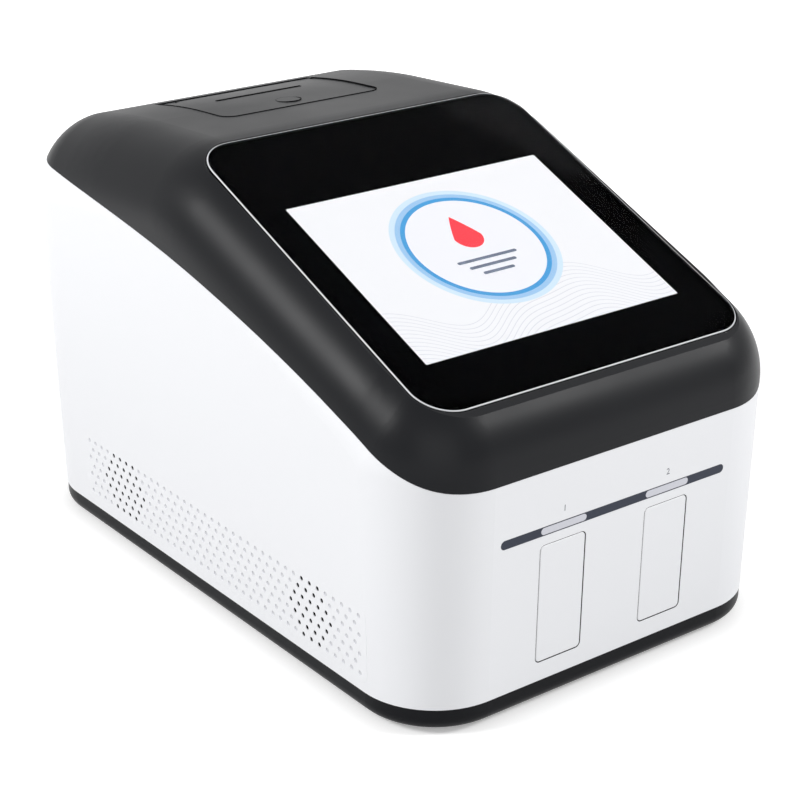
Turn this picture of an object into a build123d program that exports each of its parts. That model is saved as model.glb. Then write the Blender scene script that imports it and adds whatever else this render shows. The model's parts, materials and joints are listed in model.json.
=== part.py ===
"""Two-channel bench blood analyzer with a tilted touch screen and a built-in receipt printer.

Millimetres. The origin is the centre of the footprint on the table, +Z is up, the front
with the two channel doors faces -Y, and +X is to the right of someone who faces the screen.
"""
import math
import os

from build123d import *

os.makedirs("parts", exist_ok=True)

# Casing
body_width = 240.0          # at the lower edge of the white housing
body_depth = 370.0          # at the lower edge of the white housing
corner_radius = 42.5        # plan corners
shoulder_radius = 42.5      # round between the walls and the roof
wall_draft = 1.26           # degrees, the walls lean outwards as they rise
wall = 2.5
seam_gap = 0.2              # between housing and cover
seat_gap = 0.2              # around pieces that sit inside one another
lip_height, lip_thickness = 4.0, 1.6

# Roof lines in the side view, as distance behind the front edge, height and slope
glass_tilt = 22.3
screen_back = 101.5
screen_height = 200.1
brow_back, brow_rise, brow_slope = 12.7, 3.8, 0.56
shoulder_rise, shoulder_ease = 7.2, 0.018
crown_back, crown_height, crown_slope = 262.0, 242.9, -0.06
loin_back, loin_slope = 300.0, -0.17
tail_back, tail_slope = 345.0, -0.40
brow_round, crown_round, loin_round, tail_round = 120.0, 100.0, 400.0, 120.0

# Edge between the white housing and the black cover, as distance behind the front and height
parting_points = [
    (-12, 127.6), (6, 130.4), (22, 138.2), (72, 159.0), (180, 189.6), (304, 208.2), (392, 212.5)
]

# Base tray and feet
foot_height, foot_radius, foot_recess, foot_x, foot_y = 2.0, 9.0, 1.0, 92.0, 132.0
tray_height, tray_round, tray_inset, tray_wall = 12.0, 7.0, 0.3, 2.5
shadow_gap = 0.5
boss_radius, boss_reach, boss_top = 5.0, 31.0, 60.0
screw_radius, screw_head, screw_head_height, screw_fit = 1.5, 3.0, 2.0, 0.02
case_screw_length = 22.0

# Screen
glass_width, glass_length, glass_corner = 205.0, 214.0, 20.0
glass_thickness, glass_proud, glass_gap, glass_bevel = 2.0, 0.3, 0.7, 0.5
glass_offset = 11.0         # centre of the glass above the centre of the picture, along the slope
adhesive = 0.2
bezel_floor = 2.5
display_width, display_length, display_thickness = 183.0, 141.0, 5.5
display_play = 2.0
bracket_sheet, bracket_flange, bracket_ledge = 1.2, 7.0, 18.0
display_board_width, display_board_length, display_post = 120.0, 80.0, 3.0

# Channels
channel_spacing = 67.8
door_width, door_height, door_corner, door_sill = 28.4, 63.7, 2.5, 25.2
door_gap = 0.5
carrier_width, carrier_bottom, carrier_top, carrier_end = 24.0, 30.0, 84.0, -60.0
face_plate_width, face_plate_height, face_plate = 26.0, 59.0, 3.0
pocket_width, pocket_depth, pocket_length, pocket_front = 17.0, 44.0, 96.0, -173.0
window_width, window_height, window_y, window_z = 10.0, 16.0, -95.0, 62.0
rod_radius, rod_fit, rod_spacing, rod_z, bearing_length = 2.0, 0.04, 14.0, 26.2, 40.0
slide_width, slide_plate, slide_end, slide_block = 26.0, 2.5, 6.0, 9.8
slide_front, slide_back = -178.0, -20.0

# Drawer drive
gear_module, gear_teeth, pressure_angle, backlash = 0.8, 20, 20.0, 0.16
rack_backing, rack_bottom, rack_height, rack_inset = 1.5, 33.5, 6.0, 1.2
rack_teeth_ahead, rack_teeth_behind = 4, 31
pinion_y, pinion_rim = -140.0, 0.75
shaft_radius, shaft_fit = 1.5, 0.05
motor_size, motor_length, shaft_depth = 17.0, 26.0, 15.0
deck_bottom, deck_thickness, deck_width, deck_length = 42.0, 2.0, 40.8, 44.0
leg_width, leg_thickness, leg_foot = 28.0, 2.0, 8.0

# Read heads
optics_width, optics_length, optics_height = 26.0, 60.0, 48.0
optics_gap, lens_radius, lens_length, optics_foot = 2.0, 4.0, 1.2, 4.0

# Front light strip
strip_length, strip_height, strip_z, strip_depth = 146.2, 4.7, 96.8, 1.2
light_length, light_height, light_flange, light_length_in = 28.7, 3.7, 1.5, 5.5
strip_fit = 0.1
led_width, led_height, led_board, led_board_depth = 118.0, 9.0, 1.6, 7.2

# Side vents
vent_pitch_y, vent_pitch_z, vent_radius, vent_mid_z = 6.83, 5.27, 1.3, 39.8
vent_clusters = ((86.8, 6), (267.8, 7))     # distance behind the front, holes in the middle row
panel_front, panel_back, panel_low, panel_high = 40.0, 312.0, 19.0, 61.0
panel_depth, panel_corner = 0.4, 6.0

# Printer
hinge_back, lid_tilt = 328.0, 5.9
lid_width, lid_length, lid_corner, lid_gap, lid_seat = 104.0, 71.0, 8.0, 0.5, 0.4
lid_rest = 0.3              # between the closed lid and the rim below it
barrel_depth, barrel_radius, barrel_length, barrel_gap = 4.0, 3.5, 82.0, 1.0
knuckle_length, pin_radius, pin_fit = 10.0, 1.25, 0.05
slot_length, slot_width, slot_reach = 57.0, 2.6, 24.0
button_radius, button_reach, button_travel, button_gap = 7.0, 54.0, 1.5, 0.3
button_lift = 0.3           # the curved lid stands above its chord at the button
button_flange, button_rim, cup_wall, cup_gap, cup_room = 1.0, 1.0, 1.0, 0.3, 3.0
well_width, well_front, well_rear, well_depth, well_wall = 80.0, -64.0, -8.0, 58.0, 2.0
rim_width, rim_front, rim_back, rim_sheet, rim_corner = 120.0, -80.0, 12.0, 2.0, 6.0
roll_radius, roll_width, core_radius, core_wall = 18.0, 57.0, 8.0, 2.0
roll_y, roll_depth, journal_radius, journal_fit, journal_length = -44.0, 36.0, 3.0, 0.08, 6.0
cradle_gap, cradle_wall, cradle_width, cradle_rise = 2.5, 2.5, 30.0, 4.0
platen_radius, platen_reach, platen_depth, axle_radius, axle_fit = 4.0, 20.5, 11.0, 1.5, 0.05
ear_gap, ear_thickness = 0.7, 2.5
head_width, head_height, head_thickness, head_top, head_gap = 57.0, 15.0, 3.0, 7.0, 0.3
mount_width, mount_height = 68.0, 18.0

# Inner frame, boards and power
chassis_width, chassis_depth, chassis_corner, chassis_sheet = 206.0, 330.0, 38.0, 1.5
chassis_z, flange_height = 18.0, 8.0
chassis_screws = ((88, 150), (96, 0), (88, -150))
board_thickness, board_lift, post_radius = 1.6, 7.5, 2.75
board_x, board_y, board_width, board_depth = -28.0, 100.0, 124.0, 140.0
board_posts = ((-86, 38), (30, 38), (-86, 140), (30, 140))
lan_x, lan_width, lan_height = -60.0, 16.0, 13.5
usb_x, usb_width, usb_height = -30.0, 13.0, 7.0
socket_depth, socket_gap, socket_face = 20.0, 0.4, 184.8
supply_width, supply_depth, supply_height, supply_x, supply_y = 54.0, 110.0, 36.0, 74.0, 88.0
inlet_x, inlet_z, inlet_width, inlet_height, inlet_body = 57.0, 50.0, 27.0, 20.0, 22.0
flange_margin, flange_sheet, inlet_wall, inlet_cavity = 3.0, 1.6, 1.6, 16.0
switch_z, rocker_width, rocker_radius, rocker_depth, rocker_tilt = 82.0, 13.0, 10.5, 4.0, 8.0
rocker_face, rocker_foot, rocker_play, switch_wall, switch_body = 4.5, 3.0, 0.3, 1.7, 11.0
stub_radius, stub_length = 1.0, 1.2
fan_size, fan_depth, fan_x, fan_z, fan_bore = 60.0, 15.0, -44.0, 92.0, 28.0
fan_pin, fan_plate = 10.0, 2.0
fan_hub, fan_tip, blade_count = 11.0, 27.0, 7

# Worked out from the sizes above
housing_bottom = foot_height + tray_height + shadow_gap
tray_top = foot_height + tray_height
tray_floor = foot_height + tray_wall
front_y = -body_depth / 2
lean = math.tan(math.radians(wall_draft))
lean_sin, lean_cos = math.sin(math.radians(wall_draft)), math.cos(math.radians(wall_draft))
tilt_sin, tilt_cos = math.sin(math.radians(glass_tilt)), math.cos(math.radians(glass_tilt))
glass_slope = math.tan(math.radians(glass_tilt))
overhang = 60.0
chassis_top = chassis_z + chassis_sheet
board_top = chassis_top + board_lift + board_thickness
channel_x = channel_spacing / 2
pitch_radius = gear_module * gear_teeth / 2
tooth_pitch = math.pi * gear_module
dedendum = 1.25 * gear_module
rack_pitch_x = channel_x - carrier_width / 2 + rack_inset - rack_backing - dedendum
pinion_x = rack_pitch_x - pitch_radius
rack_front = pinion_y - (rack_teeth_ahead + 1) * tooth_pitch
rack_rear = pinion_y + (rack_teeth_behind + 1) * tooth_pitch
boss_x = body_width / 2 - corner_radius + boss_reach * math.sqrt(0.5)
boss_y = body_depth / 2 - corner_radius + boss_reach * math.sqrt(0.5)
corners = [(sx * boss_x, sy * boss_y) for sx in (-1, 1) for sy in (-1, 1)]
lid_thickness = wall - lid_seat - lid_rest
inner_face = wall * lean_cos       # wall thickness square to the leaning walls
sides = (("left", -1), ("right", 1))


def glass_height(back):
    """Height of the screen plane at a distance behind the front edge."""
    return screen_height + (back - screen_back) * glass_slope


def along(line, back):
    """Point on a side-view line, given as (back, height, slope)."""
    return back, line[1] + line[2] * (back - line[0])


def crossing(first, second):
    """Point where two side-view lines meet."""
    back = (second[1] - first[1] + first[2] * first[0] - second[2] * second[0]) / (first[2] - second[2])
    return along(first, back)


def side_view(point):
    """A (back, height) pair as a point of the YZ plane."""
    return front_y + point[0], point[1]


brow_line = (brow_back, glass_height(brow_back) + brow_rise, brow_slope)
shoulder_line = (screen_back, screen_height + shoulder_rise, glass_slope - shoulder_ease)
crown_line = (crown_back, crown_height, crown_slope)
loin_line = (*along(crown_line, loin_back), loin_slope)
tail_line = (*along(loin_line, tail_back), tail_slope)
roof_path = [
    along(brow_line, -overhang),
    crossing(brow_line, shoulder_line),
    crossing(shoulder_line, crown_line),
    along(crown_line, loin_back),
    along(loin_line, tail_back),
    along(tail_line, body_depth + overhang),
]
roof_rounds = [brow_round, crown_round, loin_round, tail_round]
glass_plane = Plane(
    origin=(0, front_y + screen_back, screen_height), x_dir=(1, 0, 0), z_dir=(0, -tilt_sin, tilt_cos)
)
lid_plane = Plane(
    origin=(0, front_y + hinge_back, along(loin_line, hinge_back)[1]),
    x_dir=(1, 0, 0),
    z_dir=(0, math.sin(math.radians(lid_tilt)), math.cos(math.radians(lid_tilt))),
)
lid_section = Plane(origin=lid_plane.origin, x_dir=lid_plane.y_dir, z_dir=(1, 0, 0))
front_plane = Plane(origin=(0, front_y, housing_bottom), x_dir=(1, 0, 0), z_dir=(0, -lean_cos, -lean_sin))
rear_plane = Plane(origin=(0, -front_y, housing_bottom), x_dir=(-1, 0, 0), z_dir=(0, lean_cos, -lean_sin))


def casing_form(inset=0.0, base=housing_bottom):
    """Solid form of the closed casing, drawn in by an inset, from a base height up."""
    shrink = inset + (housing_bottom - base) * lean
    with BuildPart() as form:
        with BuildSketch(Plane.XY.offset(base)):
            RectangleRounded(body_width - 2 * shrink, body_depth - 2 * shrink, corner_radius - shrink)
        extrude(amount=crown_height + overhang, taper=-wall_draft)
        with BuildSketch(Plane.YZ.offset(-body_width)):
            with BuildLine():
                roof = FilletPolyline(*[side_view(p) for p in roof_path], radius=roof_rounds)
                Polyline(roof @ 1, ((roof @ 1).X, -overhang), ((roof @ 0).X, -overhang), roof @ 0)
            make_face()
            if inset:
                offset(amount=-inset)
        extrude(amount=2 * body_width, mode=Mode.INTERSECT)
        roof_faces = form.faces().filter_by(lambda f: f.normal_at().Z > 0.5)
        wall_faces = form.faces().filter_by(lambda f: abs(f.normal_at().Z) < 0.1)
        fillet(roof_faces.edges() & wall_faces.edges(), radius=shoulder_radius - inset)
        with BuildSketch(glass_plane.offset(-inset)):
            Rectangle(2 * body_width, 2 * body_width)
        extrude(amount=overhang, mode=Mode.SUBTRACT)
    return form.part


def above_parting(shift=0.0):
    """Everything above the edge between housing and cover, moved up by a shift."""
    with BuildPart() as upper:
        with BuildSketch(Plane.YZ.offset(-body_width)):
            with BuildLine():
                edge = Spline(*[side_view((back, height + shift)) for back, height in parting_points])
                top = crown_height + overhang
                Polyline(edge @ 1, ((edge @ 1).X, top), ((edge @ 0).X, top), edge @ 0)
            make_face()
        extrude(amount=2 * body_width)
    return upper.part


def lid_shape(half, near, far, radius):
    """Outline that is square at the hinge and round at its two front corners."""
    with BuildSketch() as shape:
        with BuildLine():
            outline = FilletPolyline((half, far), (half, near), (-half, near), (-half, far), radius=radius)
            Line(outline @ 1, outline @ 0)
        make_face()
    return shape.sketch


def save(name, builder):
    """Label a finished piece and write it."""
    builder.part.label = name
    export_step(builder.part, f"parts/{name}.step")


outer_form = casing_form()
inner_form = casing_form(wall, housing_bottom - 1)

# White housing
switch_v = switch_z - housing_bottom
inlet_v = inlet_z - housing_bottom
fan_v = fan_z - housing_bottom
strip_v = strip_z - housing_bottom
switch_width = rocker_width + 2 * (rocker_play + switch_wall)
switch_height = 2 * (rocker_radius + rocker_play + switch_wall)
with BuildPart() as housing:
    add(outer_form)
    add(inner_form, mode=Mode.SUBTRACT)
    # screw bosses with a rib to each corner
    with BuildSketch(Plane.XY.offset(tray_top)):
        for x, y in corners:
            with Locations((x, y)):
                Circle(boss_radius)
            with Locations((x + math.copysign(3.7, x), y + math.copysign(3.7, y))):
                Rectangle(10.5, 3, rotation=math.degrees(math.atan2(math.copysign(1, y), x / abs(x))))
    extrude(amount=boss_top - tray_top)
    add(above_parting(), mode=Mode.SUBTRACT)
    with BuildSketch(Plane.XY.offset(tray_top)):
        with Locations(*corners):
            Circle(screw_radius + screw_fit)
    extrude(amount=case_screw_length, mode=Mode.SUBTRACT)
    # door openings
    with BuildSketch(Plane.XZ.offset(-front_y - 10)):
        for name, s in sides:
            with Locations((s * channel_x, door_sill + door_height / 2)):
                RectangleRounded(
                    door_width + 2 * door_gap, door_height + 2 * door_gap, door_corner + door_gap
                )
    extrude(amount=20, mode=Mode.SUBTRACT)
    # light strip recess, light windows and board posts
    with BuildSketch(front_plane.offset(-strip_depth)):
        with Locations((0, strip_v)):
            SlotOverall(strip_length + 2 * strip_fit, strip_height + 2 * strip_fit)
    extrude(amount=5, mode=Mode.SUBTRACT)
    with BuildSketch(front_plane.offset(-5)):
        with Locations((-channel_x, strip_v), (channel_x, strip_v)):
            SlotOverall(light_length + 2 * strip_fit, light_height + 2 * strip_fit)
    extrude(amount=10, mode=Mode.SUBTRACT)
    with BuildSketch(front_plane.offset(-led_board_depth)):
        with GridLocations(led_width / 2 - 4, 0, 3, 1):
            with Locations((0, strip_v)):
                Circle(2.5)
    extrude(amount=led_board_depth - wall / 2)
    # side vents and the shallow panels around them
    with BuildSketch(Plane.YZ):
        for back, middle in vent_clusters:
            for row in range(-3, 4):
                with Locations((front_y + back, vent_mid_z + row * vent_pitch_z)):
                    with GridLocations(vent_pitch_y, 1, middle - abs(row), 1):
                        Circle(vent_radius)
    extrude(amount=body_width, both=True, mode=Mode.SUBTRACT)
    for name, s in sides:
        side_plane = Plane(
            origin=(s * body_width / 2, 0, housing_bottom),
            x_dir=(0, 1, 0),
            z_dir=(s * lean_cos, 0, -lean_sin),
        )
        middle_z = (panel_low + panel_high) / 2 - housing_bottom
        with BuildSketch(side_plane.offset(-panel_depth)):
            with Locations((front_y + (panel_front + panel_back) / 2, s * middle_z)):
                RectangleRounded(panel_back - panel_front, panel_high - panel_low, panel_corner)
        extrude(amount=2, mode=Mode.SUBTRACT)
    # fan grille
    with BuildSketch(rear_plane.offset(-wall - 1)):
        with Locations((-fan_x, fan_v)):
            for ring in (26, 19, 12):
                Circle(ring)
                Circle(ring - 4, mode=Mode.SUBTRACT)
            Rectangle(2 * fan_bore, 3, rotation=45, mode=Mode.SUBTRACT)
            Rectangle(2 * fan_bore, 3, rotation=-45, mode=Mode.SUBTRACT)
    extrude(amount=wall + 2, mode=Mode.SUBTRACT)
    # openings for inlet, switch and sockets
    with BuildSketch(rear_plane.offset(-wall - 1)):
        with Locations((-inlet_x, inlet_v)):
            Rectangle(inlet_width + 2 * seat_gap, inlet_height + 2 * seat_gap)
        with Locations((-inlet_x, switch_v)):
            Rectangle(switch_width + 2 * seat_gap, switch_height + 2 * seat_gap)
    extrude(amount=wall + 2, mode=Mode.SUBTRACT)
    with BuildSketch(Plane.XZ.offset(front_y + 10)):
        with Locations((lan_x, board_top + lan_height / 2)):
            Rectangle(lan_width + 2 * socket_gap, lan_height + 2 * socket_gap)
        with Locations((usb_x, board_top + usb_height / 2)):
            Rectangle(usb_width + 2 * socket_gap, usb_height + 2 * socket_gap)
    extrude(amount=-20, mode=Mode.SUBTRACT)
save("housing", housing)

# Black cover
recess_depth = glass_thickness - glass_proud + adhesive
bezel_bottom = recess_depth + bezel_floor
with BuildPart() as seat_plate:
    with BuildSketch(glass_plane.offset(-bezel_bottom)):
        with Locations((0, glass_offset)):
            RectangleRounded(glass_width + 8, glass_length + 8, glass_corner + 4)
    extrude(amount=bezel_bottom)
    add(outer_form, mode=Mode.INTERSECT)
with BuildPart() as tongue:
    add(casing_form(wall + seat_gap))
    add(casing_form(wall + seat_gap + lip_thickness), mode=Mode.SUBTRACT)
    add(above_parting(-lip_height), mode=Mode.INTERSECT)
    add(above_parting(lip_height), mode=Mode.SUBTRACT)
with BuildPart() as tongue_root:
    add(casing_form(wall - 0.5))
    add(casing_form(wall + seat_gap + lip_thickness), mode=Mode.SUBTRACT)
    add(above_parting(seam_gap), mode=Mode.INTERSECT)
    add(above_parting(lip_height), mode=Mode.SUBTRACT)
with BuildPart() as top_cover:
    add(outer_form)
    add(inner_form, mode=Mode.SUBTRACT)
    add(above_parting(seam_gap), mode=Mode.INTERSECT)
    add(tongue.part)
    add(tongue_root.part)
    add(seat_plate.part)
    with BuildSketch(glass_plane.offset(-recess_depth)):
        with Locations((0, glass_offset)):
            RectangleRounded(
                glass_width + 2 * glass_gap, glass_length + 2 * glass_gap, glass_corner + glass_gap
            )
    extrude(amount=overhang, mode=Mode.SUBTRACT)
    with BuildSketch(glass_plane.offset(-2 * bezel_bottom)):
        Rectangle(display_width + 2 * display_play, display_length + 2 * display_play)
    extrude(amount=overhang, mode=Mode.SUBTRACT)
    # lid opening
    with BuildSketch(lid_plane.offset(-3 * wall)):
        opening_half, opening_front = lid_width / 2 + lid_gap, -lid_length - lid_gap
        add(lid_shape(opening_half, opening_front, barrel_radius + barrel_gap, lid_corner + lid_gap))
    extrude(amount=overhang, mode=Mode.SUBTRACT)
save("top_cover", top_cover)

# Base tray with its rim, and the feet
tray_width, tray_depth, tray_corner = (
    body_width - 2 * tray_inset, body_depth - 2 * tray_inset, corner_radius - tray_inset
)
with BuildPart() as tray_form:
    with BuildSketch(Plane.XY.offset(foot_height)):
        RectangleRounded(tray_width, tray_depth, tray_corner)
    extrude(amount=tray_height)
    fillet(tray_form.faces().sort_by(Axis.Z)[0].edges(), radius=tray_round)
with BuildPart() as tray_hollow:
    with BuildSketch(Plane.XY.offset(tray_floor)):
        RectangleRounded(tray_width - 2 * tray_wall, tray_depth - 2 * tray_wall, tray_corner - tray_wall)
    extrude(amount=tray_height)
    fillet(tray_hollow.faces().sort_by(Axis.Z)[0].edges(), radius=tray_round - tray_wall)
collar_out = wall + seat_gap
collar_in = collar_out + 2
with BuildPart() as base_tray:
    add(tray_form.part)
    add(tray_hollow.part, mode=Mode.SUBTRACT)
    with BuildSketch(Plane.XY.offset(tray_floor - 0.5)):
        RectangleRounded(
            body_width - 2 * collar_out, body_depth - 2 * collar_out, corner_radius - collar_out
        )
        RectangleRounded(
            body_width - 2 * collar_in,
            body_depth - 2 * collar_in,
            corner_radius - collar_in,
            mode=Mode.SUBTRACT,
        )
    extrude(amount=chassis_z - tray_floor + 0.5)
    with BuildSketch(Plane.XY.offset(tray_top)):
        for x, y in corners:
            with Locations((x + math.copysign(5, x), y + math.copysign(5, y))):
                Rectangle(10, 5, rotation=math.degrees(math.atan2(math.copysign(1, y), x / abs(x))))
    extrude(amount=10, mode=Mode.SUBTRACT)
    with BuildSketch(Plane.XY.offset(foot_height)):
        with Locations(*corners):
            Circle(boss_radius)
    extrude(amount=tray_height)
    with BuildSketch(Plane.XY.offset(tray_floor)):
        for x, y in chassis_screws:
            with Locations((x, y), (-x, y)):
                Circle(boss_radius)
    extrude(amount=chassis_z - tray_floor)
    with BuildSketch(Plane.XY.offset(tray_floor)):
        for x, y in chassis_screws:
            with Locations((x, y), (-x, y)):
                Circle(screw_radius + screw_fit)
    extrude(amount=chassis_z, mode=Mode.SUBTRACT)
    with BuildSketch(Plane.XY):
        with Locations(*corners):
            Circle(screw_radius + 0.2)
    extrude(amount=tray_top + 1, mode=Mode.SUBTRACT)
    with BuildSketch(Plane.XY):
        with Locations(*corners):
            Circle(screw_head + 0.4)
    extrude(amount=tray_floor + screw_head_height, mode=Mode.SUBTRACT)
    with BuildSketch(Plane.XY):
        with GridLocations(2 * foot_x, 2 * foot_y, 2, 2):
            Circle(foot_radius + seat_gap)
    extrude(amount=foot_height + foot_recess, mode=Mode.SUBTRACT)
    with BuildSketch(Plane.XY):
        with GridLocations(9, 0, 9, 1):
            SlotOverall(60, 4, rotation=90)
    extrude(amount=tray_floor + 1, mode=Mode.SUBTRACT)
save("base_tray", base_tray)

with BuildPart() as rubber_feet:
    with BuildSketch():
        with GridLocations(2 * foot_x, 2 * foot_y, 2, 2):
            Circle(foot_radius)
    extrude(amount=foot_height + foot_recess)
    chamfer(rubber_feet.edges().group_by(Axis.Z)[0], length=0.6)
save("rubber_feet", rubber_feet)

with BuildPart() as case_screws:
    with BuildSketch(Plane.XY.offset(tray_floor)):
        with Locations(*corners):
            Circle(screw_head)
            RegularPolygon(1.4, 6, mode=Mode.SUBTRACT)
    extrude(amount=screw_head_height)
    with BuildSketch(Plane.XY.offset(tray_floor + 1)):
        with Locations(*corners):
            Circle(screw_radius)
    extrude(amount=case_screw_length)
save("case_screws", case_screws)

# Display
with BuildPart() as display_glass:
    with BuildSketch(glass_plane.offset(glass_proud - glass_thickness)):
        with Locations((0, glass_offset)):
            RectangleRounded(glass_width, glass_length, glass_corner)
    extrude(amount=glass_thickness)
    upper_face = display_glass.faces().sort_by(lambda f: f.center().Z - f.center().Y * glass_slope)[-1]
    chamfer(upper_face.edges(), length=glass_bevel)
save("display_glass", display_glass)

panel_top = -recess_depth
panel_bottom = panel_top - display_thickness
with BuildPart() as lcd_panel:
    with BuildSketch(glass_plane.offset(panel_bottom)):
        Rectangle(display_width, display_length)
    extrude(amount=display_thickness)
save("lcd_panel", lcd_panel)

bracket_width = display_width + 2 * display_play
bracket_length = display_length + 2 * display_play
bracket_bottom = panel_bottom - bracket_sheet
with BuildPart() as lcd_bracket:
    with BuildSketch(glass_plane.offset(bracket_bottom)):
        Rectangle(bracket_width + 2 * bracket_sheet, bracket_length + 2 * bracket_sheet)
        Rectangle(bracket_width - 2 * bracket_ledge, bracket_length - 2 * bracket_ledge, mode=Mode.SUBTRACT)
        with GridLocations(display_board_width - 20, 1, 2, 1):
            Rectangle(16, bracket_length)
    extrude(amount=bracket_sheet)
    with BuildSketch(glass_plane.offset(bracket_bottom)):
        Rectangle(bracket_width + 2 * bracket_sheet, bracket_length + 2 * bracket_sheet)
        Rectangle(bracket_width, bracket_length, mode=Mode.SUBTRACT)
    extrude(amount=-bezel_bottom - bracket_bottom)
    with BuildSketch(glass_plane.offset(-bezel_bottom - bracket_sheet)):
        Rectangle(bracket_width + 2 * bracket_flange, bracket_length + 2 * bracket_flange)
        Rectangle(bracket_width, bracket_length, mode=Mode.SUBTRACT)
    extrude(amount=bracket_sheet)
    with BuildSketch(glass_plane.offset(bracket_bottom - display_post)):
        with GridLocations(display_board_width - 20, display_board_length - 10, 2, 2):
            Circle(post_radius)
    extrude(amount=display_post)
save("lcd_bracket", lcd_bracket)

display_board_top = bracket_bottom - display_post
with BuildPart() as display_board:
    with BuildSketch(glass_plane.offset(display_board_top - board_thickness)):
        Rectangle(display_board_width, display_board_length)
    extrude(amount=board_thickness)
    with BuildSketch(glass_plane.offset(display_board_top - board_thickness)):
        with Locations((-30, 8)):
            Rectangle(18, 18)
        with Locations((5, 12)):
            Rectangle(10, 14)
        with Locations((35, -25)):
            Rectangle(24, 6)
        with Locations((-35, -28)):
            Rectangle(30, 5)
    extrude(amount=-2)
save("display_board", display_board)

# Sheet-metal chassis plate on the tray
with BuildPart() as chassis_plate:
    with BuildSketch(Plane.XY.offset(chassis_z)):
        RectangleRounded(chassis_width, chassis_depth, chassis_corner)
        with Locations((0, -60), (0, 60)):
            SlotOverall(70, 12, mode=Mode.SUBTRACT)
        for x, y in chassis_screws:
            with Locations((x, y), (-x, y)):
                Circle(screw_radius + 0.2, mode=Mode.SUBTRACT)
    extrude(amount=chassis_sheet)
    with BuildSketch(Plane.XY.offset(chassis_top)):
        with Locations(
            (-chassis_width / 2 + chassis_sheet / 2, -70), (chassis_width / 2 - chassis_sheet / 2, -70)
        ):
            Rectangle(chassis_sheet, 100)
    extrude(amount=flange_height)
save("chassis_plate", chassis_plate)

with BuildPart() as chassis_bolts:
    with BuildSketch(Plane.XY.offset(chassis_top)):
        for x, y in chassis_screws:
            with Locations((x, y), (-x, y)):
                Circle(screw_head)
                RegularPolygon(1.4, 6, mode=Mode.SUBTRACT)
    extrude(amount=screw_head_height)
    with BuildSketch(Plane.XY.offset(chassis_z - 7)):
        for x, y in chassis_screws:
            with Locations((x, y), (-x, y)):
                Circle(screw_radius)
    extrude(amount=7 + chassis_sheet + 1)
save("chassis_bolts", chassis_bolts)

# Gear outlines
def pinion_outline():
    """Involute outline of the drive pinion, with a tooth space towards +X and -X."""
    alpha = math.radians(pressure_angle)
    base = pitch_radius * math.cos(alpha)
    half = (tooth_pitch - backlash) / 4 / pitch_radius
    levels = [base, 0.5 * (base + pitch_radius), pitch_radius, pitch_radius + 0.5 * gear_module]
    levels.append(pitch_radius + gear_module)
    points = []
    for tooth in range(gear_teeth):
        middle = 2 * math.pi * (tooth + 0.5) / gear_teeth
        flank = []
        for radius in levels:
            roll = math.acos(base / radius)
            flank.append((radius, half + math.tan(alpha) - alpha - math.tan(roll) + roll))
        flank.insert(0, (pitch_radius - dedendum, flank[0][1]))
        rising = [(r, middle - a) for r, a in flank]
        falling = [(r, middle + a) for r, a in reversed(flank)]
        points += [(r * math.cos(a), r * math.sin(a)) for r, a in rising + falling]
    return points


def rack_outline(side):
    """Outline of a rack seen from above, teeth towards the middle of the machine."""
    half = (tooth_pitch - backlash) / 4
    slant = math.tan(math.radians(pressure_angle))
    root_x, tip_x = rack_pitch_x + dedendum, rack_pitch_x - gear_module
    back_x = channel_x - carrier_width / 2 + rack_inset
    points = [(back_x, rack_front), (root_x, rack_front)]
    for tooth in range(rack_teeth_ahead + rack_teeth_behind + 1):
        y = rack_front + (tooth + 1) * tooth_pitch
        low, high = half + slant * dedendum, half - slant * gear_module
        points += [(root_x, y - low), (tip_x, y - high), (tip_x, y + high), (root_x, y + low)]
    points += [(root_x, rack_rear), (back_x, rack_rear)]
    return [(side * x, y) for x, y in points]


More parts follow.
